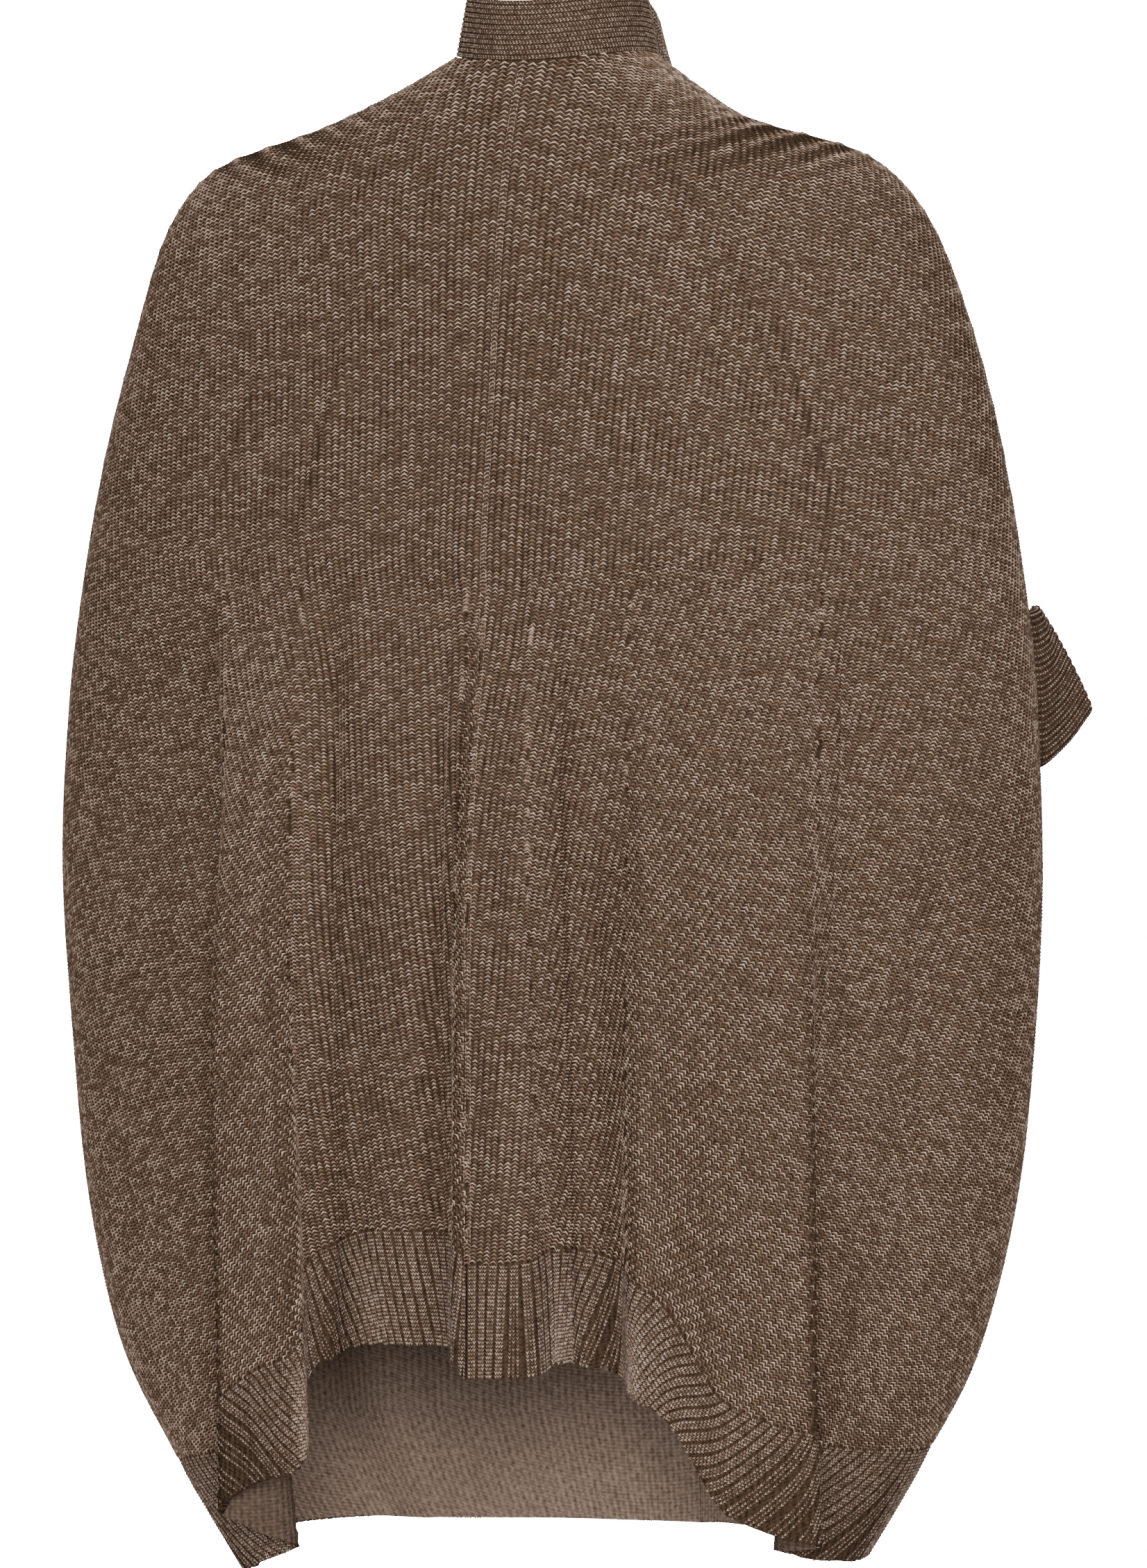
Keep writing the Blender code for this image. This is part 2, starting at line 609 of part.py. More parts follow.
def cuff(side, name):
    """One ribbed cuff, an open tube."""
    count = 2 * round(4.3 * CUFF_HALF_HEIGHT / RIB_PITCH)
    loops = np.array(cuff_loops(side, count))
    around = np.roll(loops, -1, axis=1) - np.roll(loops, 1, axis=1)
    normals = unit(np.cross(around, np.gradient(loops, axis=0))) * side
    raised = (np.arange(count) % 2.0)[None, :, None] * np.array((0.0, 1.0, 1.0, 1.0))[:, None, None]
    wall = Wall()
    outer = [wall.add_row(skin) for skin in loops + normals * raised * RIB_HEIGHT]
    inner = [wall.add_row(lining) for lining in loops - normals * CUFF_WALL]
    marks = np.arange(count + 1.0)
    pairs = [*zip(outer, outer[1:]), *zip(inner, inner[1:]), (outer[0], inner[0]), (outer[-1], inner[-1])]
    for low, high in pairs:
        wall.join(low + low[:1], high + high[:1], marks, marks)
    return wall.build(name, "band")


def main():
    for old in list(bpy.data.objects):
        bpy.data.objects.remove(old, do_unlink=True)
    back = Cloth("back", BACK_FOLDS)
    front_left = Cloth("front_left", FRONT_FOLDS["front_left"])
    front_right = Cloth("front_right", FRONT_FOLDS["front_right"])
    seam = seam_column(back)
    panel("back_left", back, 0, seam)
    panel("back_right", back, seam, len(back.folds) - 1)
    panel("front_left", front_left, 0, len(front_left.folds) - 1)
    panel("front_right", front_right, 0, len(front_right.folds) - 1)
    collar_band(back, front_left, front_right)
    cuff(-1.0, "cuff_left")
    cuff(1.0, "cuff_right")


main()
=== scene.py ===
import math

import bmesh
import bpy
import numpy as np
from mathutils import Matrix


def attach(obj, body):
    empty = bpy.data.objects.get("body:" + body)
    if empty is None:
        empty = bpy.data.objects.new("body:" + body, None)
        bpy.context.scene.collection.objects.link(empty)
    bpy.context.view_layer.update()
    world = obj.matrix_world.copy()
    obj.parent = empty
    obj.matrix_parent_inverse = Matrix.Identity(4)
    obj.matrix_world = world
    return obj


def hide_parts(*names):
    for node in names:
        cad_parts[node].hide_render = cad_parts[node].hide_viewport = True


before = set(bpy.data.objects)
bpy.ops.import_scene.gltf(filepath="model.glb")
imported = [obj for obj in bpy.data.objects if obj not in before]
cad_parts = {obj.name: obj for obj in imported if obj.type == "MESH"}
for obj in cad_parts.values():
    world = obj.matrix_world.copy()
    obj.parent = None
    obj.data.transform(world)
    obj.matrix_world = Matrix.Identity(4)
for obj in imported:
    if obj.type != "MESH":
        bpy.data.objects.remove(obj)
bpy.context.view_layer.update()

# An open-front knitted cardigan, filled out as worn and seen from behind. Metres, +Z up, the front
# faces -Y, the wearer's left is +X, and the origin is the middle of the neck. The panels repeat the
# form of the solids, in finer steps: rings from the neck to the hem, a table of folds, and the hem
# line. On them lie the stitches, laid along the wales of the knit.
MM = 0.001

# The cloth, in millimetres unless a name says otherwise.
WALL = 2.4
BAND_WALL = 2.8
SEAM_GAP = 0.4
RIB_PITCH = 6.4
RIB_HEIGHT = 0.9
RIB_SHAPE = (0.0, 0.85, 1.0, 0.85)
RIB_RISE_STEPS = 1.5
RIB_WALES = 1.5
HEM_RIB_DEPTH = 66.0
BAND_WIDTH = 36.0
BAND_RIBS = 12
BAND_RIB_HEIGHT = 0.4
BAND_FLAT_Z = -75.0
COLLAR_LEAN = math.radians(10.0)
VIEW_TURN = math.radians(20.0)
WALE_PITCH = 4.3
COURSE_PITCH = 2.15
CHAIN_PITCH = 2.6
CHAIN_BESIDE = 1.9
CHAIN_LIFT = 0.5
RIB_STITCH_LIFT = -0.05
PANEL_SPAN = 4.5
BODY_ROWS = (24, 62)
BAND_ROWS = 8

# Where the wales of stitches lie on a rib, in ribs from its middle.
HEM_WALES = (-0.24, 0.0, 0.24)
BAND_WALES = (-0.17, 0.17)

# The body form, a ring a row, as in the solids.
RING_COLUMNS = ("side_z", "reach_left", "reach_right", "back_z", "back_y", "front_z", "front_y",
                "seam_left", "seam_right", "edge")
RINGS = (
    (0.0, 63.0, 56.0, -8.0, 66.0, -20.0, 60.0, 97.0, 97.0, 112.0),      # neck
    (-16.0, 92.0, 77.0, -34.0, 80.0, -50.0, 74.0, 97.0, 97.0, 129.0),
    (-38.0, 140.0, 108.0, -66.0, 91.0, -84.0, 87.0, 97.0, 97.0, 151.0),
    (-62.0, 208.0, 178.0, -112.0, 101.0, -128.0, 100.0, 98.0, 98.0, 165.0),  # shoulder
    (-95.0, 235.0, 210.0, -156.0, 107.0, -170.0, 108.0, 99.0, 99.0, 169.0),
    (-163.0, 257.0, 237.0, -212.0, 114.0, -226.0, 116.0, 103.0, 103.0, 173.0),
    (-261.0, 280.0, 259.0, -292.0, 125.0, -300.0, 124.0, 111.0, 111.0, 177.0),  # elbow
    (-384.0, 294.0, 274.0, -392.0, 139.0, -396.0, 132.0, 111.0, 111.0, 181.0),
    (-481.0, 298.0, 277.0, -481.0, 146.0, -481.0, 137.0, 107.0, 107.0, 182.5),
    (-628.0, 289.0, 268.0, -628.0, 150.0, -628.0, 142.0, 98.0, 102.0, 185.0),
    (-751.0, 266.0, 243.0, -751.0, 149.0, -751.0, 144.0, 91.0, 100.0, 187.5),
    (-824.0, 231.0, 208.0, -824.0, 146.0, -824.0, 143.0, 87.0, 99.0, 190.0),
    (-900.0, 183.0, 165.0, -900.0, 142.0, -900.0, 141.0, 84.0, 99.0, 194.0),
)
LEVEL_OF_ELBOW = 6.0
UPPER_SHARE = 0.4
HEM_SHARE = 0.93

# The folds of each cloth, as in the solids. A turn is in degrees.
FOLD_COLUMNS = ("name", "place_top", "place_hem", "half_width", "turn", "start",
                "hem_before", "hem_after", "hem_next")
BACK_FOLDS = (
    ("left_side", None, None, 0.0, 0.0, 0.0, -895.0, -893.0, -885.0),
    ("left_pleat", -197.0, -168.0, 24.0, 138.0, 0.06, -872.0, -846.0, -831.0),
    ("left_roll", -152.0, -137.0, 18.0, -115.0, 0.02, -821.0, -761.0, -749.0),
    ("ridge_left", -56.0, -57.0, 14.0, 75.0, 0.06, -749.0, -760.0, -767.0),
    ("centre_seam", -46.0, -46.0, 0.0, 0.0, 0.0, -767.0, -766.0, -766.0),
    ("ridge_right", -19.0, -6.0, 14.0, -72.0, 0.06, -765.0, -757.0, -759.0),
    ("right_roll", 38.0, 38.0, 16.0, 70.0, 0.20, -763.0, -779.0, -844.0),
    ("right_pleat", 148.0, 127.0, 21.0, -130.0, 0.06, -861.0, -868.0, -875.0),
    ("right_side", None, None, 0.0, 0.0, 0.0, -878.0, -878.0, -878.0),
)
FRONT_FOLDS = {
    "front_left": (
        ("side", None, None, 0.0, 0.0, 0.0, -895.0, -893.0, -887.0),
        ("outer_pleat", 0.20, 0.16, 22.0, 120.0, 0.12, -883.0, -881.0, -875.0),
        ("inner_roll", 0.46, 0.50, 30.0, -40.0, 0.10, -873.0, -872.0, -872.0),
        ("edge", None, None, 0.0, 0.0, 0.0, -872.0, -872.0, -872.0),
    ),
    "front_right": (
        ("side", None, None, 0.0, 0.0, 0.0, -878.0, -878.0, -877.0),
        ("outer_pleat", 0.42, 0.38, 22.0, 120.0, 0.15, -876.0, -875.0, -874.0),
        ("inner_pleat", 0.58, 0.56, 22.0, -120.0, 0.08, -873.0, -873.0, -872.0),
        ("edge", None, None, 0.0, 0.0, 0.0, -872.0, -872.0, -872.0),
    ),
}
FOLD_ZONE = 0.25
FOLD_FILL = 0.85
FULL_FOLD_DROP = 0.9
PLACE_POWER = 1.3
NARROW_START = 0.4
GROWTH_POWER = 0.65
PAST_EDGE_TURN = 0.1
FINE_FOLD_TURN = 100.0

# The overlap of the fronts: how far apart they lie, where round the body and below what height.
OVERLAP_STEP = 3.2
OVERLAP_TURN = math.radians(138.0)
OVERLAP_TURN_FADE = math.radians(22.0)
OVERLAP_Z = -80.0
OVERLAP_Z_FADE = 90.0

# Soft troughs and the creases beside the folds, which the solids leave out: the cloth, its column,
# the half width in columns, the depth, and the heights between which it shows.
TROUGHS = (
    ("back", 0.45, 0.12, 3.0, -520.0, -840.0),
    ("back", 0.72, 0.12, 10.0, -300.0, -1000.0),
    ("back", 2.29, 0.055, 9.0, -290.0, -1000.0),
    ("back", 2.42, 0.06, 3.5, -450.0, -730.0),
    ("back", 2.71, 0.055, 8.0, -330.0, -1000.0),
    ("back", 5.31, 0.08, 7.0, -310.0, -1000.0),
    ("back", 5.65, 0.11, 7.0, -440.0, -1000.0),
    ("back", 7.29, 0.055, 8.0, -300.0, -1000.0),
    ("back", 7.46, 0.12, 12.0, -430.0, -1000.0),
    ("front_left", 0.72, 0.06, 6.0, -320.0, -1000.0),
    ("front_left", 1.60, 0.08, 4.0, -430.0, -800.0),
    ("front_right", 0.74, 0.06, 6.0, -320.0, -1000.0),
    ("front_right", 2.60, 0.08, 4.0, -430.0, -800.0),
)
TROUGH_TOP_FADE = 90.0
TROUGH_BOTTOM_FADE = 60.0

# The cloth's slow unevenness: the size of each wave, its turns across and down, and its start.
WAVES = ((0.9, 5.1, 11.0, 0.4), (0.7, 8.7, -17.0, 1.9), (0.5, 14.3, 6.0, 3.1))
WAVE_FADE = 0.3
WAVE_TOP_ROW = 0.12

# How far the wales lean, in degrees, between each pair of folds at five heights. On the back a plus
# leans as / does from behind; on the fronts it goes towards the front edge lower down.
LEAN_HEIGHTS = (-150.0, -300.0, -500.0, -700.0, -850.0)
FRONT_LEANS = ((20.0, 22.0, 25.0, 30.0, 34.0), (12.0, 14.0, 14.0, 16.0, 18.0), (4.0,) * 5)
LEANS = {
    "back": (
        (-15.0, -20.0, -25.0, -31.0, -38.0),
        (-13.0, -20.0, -22.0, -27.0, -36.0),
        (-14.0, -12.0, -7.0, -12.0, -16.0),
        (-2.0, -1.0, -2.0, -4.0, -5.0),
        (4.0, 4.0, 5.0, 6.0, 6.0),
        (9.0, 12.0, 11.0, 13.0, 14.0),
        (12.0, 18.0, 17.0, 21.0, 30.0),
        (18.0, 23.0, 27.0, 36.0, 42.0),
    ),
    "front_left": FRONT_LEANS,
    "front_right": FRONT_LEANS,
}

# The row from which the wales lean, how far they run on past a seam and past a fold, the width in
# columns of the stretch of a front's inside by the side seam that gets painted shade, the knit's
# gauge at the neck, and how the wales lean by a panel's edges and in a fold.
EVEN_ROW = 0.42
SEAM_REACH = 4.0
FOLD_REACH = 1.4
SIDE_SHADE_STRETCH = 0.95
NECK_GAUGE = 0.70
RIB_LEAN_FADE = 0.5
FOLD_LEAN = 0.3

# The arm's slit and its cuff, as in the solids.
SLIT_TOP_Z = -334.0
SLIT_BOTTOM_Z = -412.0
SLIT_HALF = 9.0
SLIT_COLUMNS = 0.6
CUFF_WALL = 2.0
CUFF_HALF = 14.0
CUFF_HALF_HEIGHT = 45.0
CUFF_STRAIGHT = 5.0
CUFF_MOUTH = (29.0, 12.0, 18.0)
CUFF_MOUTH_HALF = 12.0
CUFF_MOUTH_HALF_HEIGHT = 35.0
CUFF_MOUTH_DOWN = (0.434, -0.177, -0.885)

# The cuff's girth in half heights, its rows of points to each ring of the solid, and how large its
# stitches are.
CUFF_GIRTH = 4.3
CUFF_STEPS = 5
CUFF_STITCH_SIZE = 0.9


def smooth(x):
    x = np.clip(x, 0.0, 1.0)
    return x * x * (3.0 - 2.0 * x)


def unit(vectors):
    return vectors / np.maximum(np.linalg.norm(vectors, axis=-1, keepdims=True), 1e-9)


def curve(xs, ys, x):
    """Smooth curve through the points (xs, ys) that never overshoots them."""
    xs = np.asarray(xs, float)
    ys = np.asarray(ys, float)
    step = np.diff(xs)
    rise = np.diff(ys) / step
    slope = np.zeros(len(xs))
    before, after = rise[:-1], rise[1:]
    same = before * after > 0.0
    total = np.where(same, before + after, 1.0)
    slope[1:-1] = np.where(same, 2.0 * before * after / total, 0.0)
    slope[0], slope[-1] = rise[0], rise[-1]
    x = np.clip(np.asarray(x, float), xs[0], xs[-1])
    i = np.clip(np.searchsorted(xs, x, side="right") - 1, 0, len(xs) - 2)
    t = (x - xs[i]) / step[i]
    ease = t * t * (3.0 - 2.0 * t)
    start = t * (1.0 - t) ** 2 * step[i] * slope[i]
    end = t * t * (t - 1.0) * step[i] * slope[i + 1]
    return ys[i] * (1.0 - ease) + ys[i + 1] * ease + start + end


def travelled(points):
    """Distance along rows of points, from the first row."""
    steps = np.linalg.norm(np.diff(points, axis=0), axis=-1)
    return np.concatenate((np.zeros((1, *steps.shape[1:])), np.cumsum(steps, axis=0)))


def ring(level):
    rows = np.arange(len(RINGS))
    table = np.array(RINGS)
    return {name: curve(rows, table[:, i], level) for i, name in enumerate(RING_COLUMNS)}


def half_widths(form, angle):
    depth = np.where(np.cos(angle) >= 0.0, form["back_y"], form["front_y"])
    left = np.sqrt(form["reach_left"] ** 2 - (form["back_y"] * math.sin(VIEW_TURN)) ** 2)
    right = np.sqrt(form["reach_right"] ** 2 - (form["front_y"] * math.sin(VIEW_TURN)) ** 2)
    on_left = np.sin(angle) < 0.0
    width = np.where(on_left, left, right) / math.cos(VIEW_TURN)
    return width, depth


def round_per_turn(form, angle):
    """Millimetres round the body form for each radian."""
    width, depth = half_widths(form, angle)
    return np.hypot(width * np.cos(angle), depth * np.sin(angle))


def ring_height(form, angle):
    middle = np.where(np.cos(angle) >= 0.0, form["back_z"], form["front_z"])
    return form["side_z"] * np.sin(angle) ** 2 + middle * np.cos(angle) ** 2


LEVELS = np.linspace(0.0, len(RINGS) - 1.0, 240)
FORMS = ring(LEVELS)


def level_at(angle, height):
    """The level at which the body form has a height, at each angle."""
    found = [np.interp(-z, -ring_height(FORMS, a), LEVELS) for a, z in zip(angle, height)]
    return np.array(found)


def angle_seen(across, form):
    """Angle round the back of what the photograph sees at a distance across from the neck."""
    angle = 0.0
    for side in (1.0, -1.0):
        width, depth = half_widths(form, np.array([0.01 * side]))
        wide = width[0] * math.cos(VIEW_TURN)
        deep = depth[0] * math.sin(VIEW_TURN)
        angle = math.atan2(deep, wide) + math.asin(across / math.hypot(wide, deep))
        if angle * side >= 0.0:
            return angle
    return angle


def slit_opening(height):
    along = np.clip((height - SLIT_BOTTOM_Z) / (SLIT_TOP_Z - SLIT_BOTTOM_Z), 0.0, 1.0)
    return SLIT_HALF * np.sqrt(np.sin(math.pi * along))


class Cloth:
    """One stretch of cloth round the body, with its folds. A column is a number along it: each fold
    has a whole number, and a fold's own zone reaches FOLD_ZONE to both sides of that."""

    def __init__(self, name, folds):
        self.name = name
        self.is_back = name == "back"
        self.side = -1.0 if name.endswith("left") else 1.0
        self.folds = [dict(zip(FOLD_COLUMNS, row)) for row in folds]
        self.last = len(self.folds) - 1.0
        self.zone = [FOLD_ZONE if fold["half_width"] else 0.0 for fold in self.folds]
        marks = []
        for i, fold in enumerate(self.folds):
            marks += [(i - FOLD_ZONE, fold["hem_before"]), (i + FOLD_ZONE, fold["hem_after"]),
                      (i + 0.5, fold["hem_next"])]
        self.hem_marks = np.array(marks[1:-2])

    def fold_angle(self, index, drop, form):
        fold = self.folds[index]
        is_side = index == 0 or fold["name"] == "right_side"
        if drop > 0.0:
            about = np.array([math.pi / 2.0 if is_side else 0.0 if self.is_back else math.pi])
            start = ring_height(ring(LEVEL_OF_ELBOW), about)
            form = ring(level_at(about, self.dropped(start, np.array([index], float), drop))[0])
        if fold["place_top"] is None:
            on_right = fold["name"] == "right_side" or self.name == "front_right"
            seam = form["seam_right"] if on_right else form["seam_left"]
            turn = math.radians(seam if is_side else form["edge"])
            return turn if on_right else -turn
        moved = (fold["place_hem"] - fold["place_top"]) * max(drop, 0.0) ** PLACE_POWER
        place = fold["place_top"] + moved
        if not self.is_back:
            seam = form["seam_left"] if self.side < 0.0 else form["seam_right"]
            return self.side * math.radians(seam + (form["edge"] - seam) * place)
        if drop > 0.0:
            return angle_seen(place, form)
        elbow = ring(LEVEL_OF_ELBOW)
        return angle_seen(place, elbow) * form["seam_right"] / elbow["seam_right"]

    def dropped(self, start, columns, drop):
        body = (HEM_SHARE - UPPER_SHARE) / (1.0 - UPPER_SHARE)
        rib_top = self.hem_height(columns) + HEM_RIB_DEPTH
        if drop <= body:
            return start + (rib_top - start) * drop / body
        return rib_top - HEM_RIB_DEPTH * (drop - body) / (1.0 - body)

    def fold_step(self, turn, spot):
        """A fold's S across the cloth: how far along and out it has gone at each spot, and at its end."""
        spots = np.linspace(-1.0, 1.0, 81)
        lean = turn * (1.0 - np.abs(spots) ** 3) ** 2
        middle = (lean[1:] + lean[:-1]) / 2.0
        reach = spots[1] - spots[0]
        along = np.concatenate(([0.0], np.cumsum(np.cos(middle)) * reach))
        out = np.concatenate(([0.0], np.cumsum(np.sin(middle)) * reach))
        along -= along[-1] / 2.0
        return np.interp(spot, spots, along), np.interp(spot, spots, out), along[-1], out[-1]

    def room(self, index, centres, metric):
        """The most that a fold's half width may be before it meets its neighbours."""
        own = self.folds[index]["half_width"]
        if not own:
            return 0.0
        shares = [own / (own + self.folds[i]["half_width"]) for i in (index - 1, index + 1)]
        gaps = np.abs(np.diff(centres[index - 1:index + 2])) * metric
        return FOLD_FILL * min(gaps * shares)

    def plan(self, columns, drop, form):
        """The angle round the body of each column of a row, and how far its folds put it out."""
        centres = np.array([self.fold_angle(i, drop, form) for i in range(len(self.folds))])
        metrics = round_per_turn(form, centres)
        angle = np.zeros(len(columns))
        out = np.zeros(len(columns))
        level_out = 0.0
        last_end = centres[0]
        for i, fold in enumerate(self.folds):
            late = (drop - fold["start"]) / (FULL_FOLD_DROP - fold["start"])
            grown = smooth(max(late, 0.0) ** GROWTH_POWER)
            turn = math.radians(fold["turn"]) * grown
            spot = (columns - i) / FOLD_ZONE
            along, step, half_along, full_step = self.fold_step(turn, spot)
            half_width = fold["half_width"] * (NARROW_START + (1.0 - NARROW_START) * math.sqrt(grown))
            half_width = min(half_width, self.room(i, centres, metrics[i]) / max(half_along, 0.1))
            per_width = self.side * half_width / metrics[i]
            if self.zone[i]:
                inside = np.abs(spot) <= 1.0
                angle[inside] = centres[i] + along[inside] * per_width
                out[inside] = level_out + step[inside] * half_width
            if i:
                low = i - 1 + self.zone[i - 1]
                high = i - self.zone[i]
                span = (columns >= low) & (columns <= high)
                share = (columns[span] - low) / (high - low)
                angle[span] = last_end + (centres[i] - half_along * per_width - last_end) * share
                out[span] = level_out
            level_out += full_step * half_width
            last_end = centres[i] + half_along * per_width
        past = columns > self.last
        beyond = np.minimum(columns, 0.0) + np.maximum(columns - self.last, 0.0)
        angle += np.where(columns < 0.0, centres[0], 0.0) + np.where(past, centres[-1], 0.0)
        angle += self.side * PAST_EDGE_TURN * beyond
        out[past] = level_out
        return angle, out - level_out * np.clip(columns / self.last, 0.0, 1.0)

    def hem_height(self, columns):
        return curve(self.hem_marks[:, 0], self.hem_marks[:, 1], columns)

    def place(self, columns, row):
        drop = (row - UPPER_SHARE) / (1.0 - UPPER_SHARE)
        form = ring(LEVEL_OF_ELBOW * min(row / UPPER_SHARE, 1.0))
        angle, out = self.plan(columns, drop, form)
        height = ring_height(form, angle)
        if drop > 0.0:
            height = self.dropped(height, columns, drop)
            form = ring(level_at(angle, height))
        angle = self.open_slit(angle, height, columns, form)
        width, depth = half_widths(form, angle)
        out = out + self.layer_step(angle, height) + self.drape(columns, row, height)
        return angle, width, depth, out, height

    def points(self, columns, row):
        """Points of the cloth's outer face at each column of a row."""
        angle, width, depth, out, height = self.place(np.asarray(columns, float), row)
        x = -width * np.sin(angle)
        y = depth * np.cos(angle)
        away = unit(np.stack((x / width ** 2, y / depth ** 2), axis=-1))
        return np.stack((x + away[:, 0] * out, y + away[:, 1] * out, height), axis=-1)

    def open_slit(self, angle, height, columns, form):
        """The angles again, drawn back from the side seam where the arm's slit opens it."""
        gap = slit_opening(height) / round_per_turn(form, angle)
        near_start = smooth(1.0 - columns / SLIT_COLUMNS)
        if self.is_back:
            return angle + gap * near_start - gap * smooth(1.0 - (self.last - columns) / SLIT_COLUMNS)
        return angle + self.side * gap * near_start

    def layer_step(self, angle, height):
        """How far a front lies outside or inside the middle of the overlap."""
        if self.is_back:
            return 0.0
        near = smooth((np.abs(angle) - OVERLAP_TURN) / OVERLAP_TURN_FADE)
        return self.side * OVERLAP_STEP * near * smooth((OVERLAP_Z - height) / OVERLAP_Z_FADE)

    def drape(self, columns, row, height):
        """Soft troughs and the cloth's slow unevenness, none of it at the cloth's own edges."""
        inside = smooth(columns / WAVE_FADE) * smooth((self.last - columns) / WAVE_FADE)
        inside = inside * smooth((row - WAVE_TOP_ROW) / WAVE_FADE)
        step = sum(size * np.sin(across * columns + down * row + start)
                   for size, across, down, start in WAVES) * inside
        for name, column, half, depth, top, bottom in TROUGHS:
            if name == self.name:
                shown = smooth((top - height) / TROUGH_TOP_FADE)
                shown = shown * smooth((height - bottom) / TROUGH_BOTTOM_FADE)
                step = step - depth * np.exp(-((columns - column) / half) ** 2) * shown
        return step

    def normals(self, columns, row):
        """Outward directions at each column of a row. Two cloths share them along their side seam."""
        columns = np.asarray(columns, float)
        near, near_row = 0.02, 0.004
        across = self.points(columns + near, row) - self.points(columns - near, row)
        angle, width, depth, _, _ = self.place(columns, row)
        round_body = np.stack((-width * np.cos(angle), -depth * np.sin(angle), 0.0 * angle), axis=-1)
        at_side = columns < near
        if self.is_back:
            at_side |= columns > self.last - near
        across[at_side] = (round_body * self.side)[at_side]
        above, below = max(row - near_row, 0.0), min(row + near_row, 1.0)
        up = self.points(columns, above) - self.points(columns, below)
        return unit(np.cross(across, up)) * self.side

    def slope(self, columns, height):
        """How far the wales go along the cloth for each millimetre down."""
        steps = range(len(LEAN_HEIGHTS))
        step = np.interp(-height, [-z for z in LEAN_HEIGHTS], steps)
        degrees = np.array([curve(steps, row, step) for row in LEANS[self.name]])
        strip = np.clip(columns.astype(int), 0, len(degrees) - 1)
        own = degrees[strip, np.arange(len(columns))]
        return (-1.0 if self.is_back else 1.0) * np.tan(np.radians(own))


class Knit:
    """A panel's outer face on an even grid, with the wales and courses of its knit."""

    def __init__(self, cloth, first, last):
        self.cloth, self.first, self.last = cloth, first, last
        self.columns = panel_columns(cloth, first, last)
        upper = np.linspace(0.0, UPPER_SHARE, BODY_ROWS[0] + 1)
        lower = np.linspace(UPPER_SHARE, HEM_SHARE, BODY_ROWS[1] + 1)
        band = np.linspace(HEM_SHARE, 1.0, BAND_ROWS + 1)
        self.rows = np.concatenate((upper, lower[1:], band[1:]))
        self.rib_row = len(upper) + len(lower) - 2
        self.points = np.array([cloth.points(self.columns, row) for row in self.rows])
        self.across = np.gradient(self.points, self.columns, axis=1)
        down = np.gradient(self.points, self.rows, axis=0)
        self.normals = unit(np.cross(down, self.across)) * cloth.side
        for end, column in ((0, first), (-1, last)):
            if column == 0 or (cloth.is_back and column == cloth.last):
                self.normals[:, end] = [cloth.normals([float(column)], row)[0] for row in self.rows]
        speed = np.linalg.norm(self.across, axis=2)
        along = np.sum(down * self.across, axis=2) / speed
        drop = np.sqrt(np.maximum(np.sum(down ** 2, axis=2) - along ** 2, 1.0))
        slope = np.array([cloth.slope(self.columns, row[:, 2]) for row in self.points])
        self.rate = (slope * drop - along) / speed
        self.lay_wales(slope * drop - along, slope)
        self.lay_ribs()

    def lay_wales(self, drift, slope):
        """Distance across the wales and along them, at each point of the grid. Above the elbow the
        wales keep their place from the panel's straight edge, and open out towards the neck. Below
        it they stay parallel between two folds, and run into the folds at their sides."""
        anchor = 0 if self.first else -1
        reach = travelled(self.points.transpose(1, 0, 2)).T
        reach = reach - reach[:, anchor][:, None]
        fall = travelled(self.points)
        even = int(np.argmin(np.abs(self.rows - EVEN_ROW)))
        self.even = even
        self.course = fall - fall[even]
        self.gauge = NECK_GAUGE + (1.0 - NECK_GAUGE) * np.clip(self.rows / EVEN_ROW, 0.0, 1.0)
        self.wale = reach * self.gauge[:, None]
        self.straight = np.stack((reach / WALE_PITCH, fall / COURSE_PITCH), axis=-1)
        self.strips = []
        below = (fall - fall[even])[even:]
        gaps = np.diff(self.rows[even:])
        for strip in range(self.first, self.last):
            inside = (self.columns >= strip) & (self.columns <= strip + 1)
            middle = int(np.argmin(np.abs(self.columns - strip - 0.5)))
            rate = drift[even:, middle]
            moved = np.concatenate(([0.0], np.cumsum((rate[1:] + rate[:-1]) / 2.0 * gaps)))
            own = reach[even:] - reach[even:, middle][:, None]
            wale = (own + (reach[even, middle] - moved)[:, None])[:, inside]
            lean = slope[even:, middle][:, None]
            course = ((below + lean * own) / np.sqrt(1.0 + lean ** 2))[:, inside]
            course[0] = 0.0
            self.strips.append((inside, wale, course))
            self.wale[even, inside] = wale[0]

    def lay_ribs(self):
        """Columns of the hem's ribs, four marks a rib, which lean as the wales do but keep to the
        panel's edges."""
        length = travelled(self.points[self.rib_row])
        self.ribs = round(length[-1] / RIB_PITCH)
        self.rib_marks = [length / length[-1] * self.ribs]
        edge = smooth((self.columns - self.first) / RIB_LEAN_FADE)
        edge = edge * smooth((self.last - self.columns) / RIB_LEAN_FADE)
        for row in range(self.rib_row + 1, len(self.rows)):
            rate = (self.rate[row] + self.rate[row - 1]) / 2.0 * edge * self.steady()
            foot = self.columns - rate * (self.rows[row] - self.rows[row - 1])
            marks = np.interp(foot, self.columns, self.rib_marks[-1])
            self.rib_marks.append(np.maximum.accumulate(marks))

    def steady(self):
        """Less lean in a fold's own zone, where the cloth turns back on itself."""
        near = np.abs(self.columns - np.round(self.columns)) / FOLD_ZONE
        return FOLD_LEAN + (1.0 - FOLD_LEAN) * smooth(near - 0.5)

    def rib_columns(self, step, marks):
        return np.interp(marks, self.rib_marks[step], self.columns)


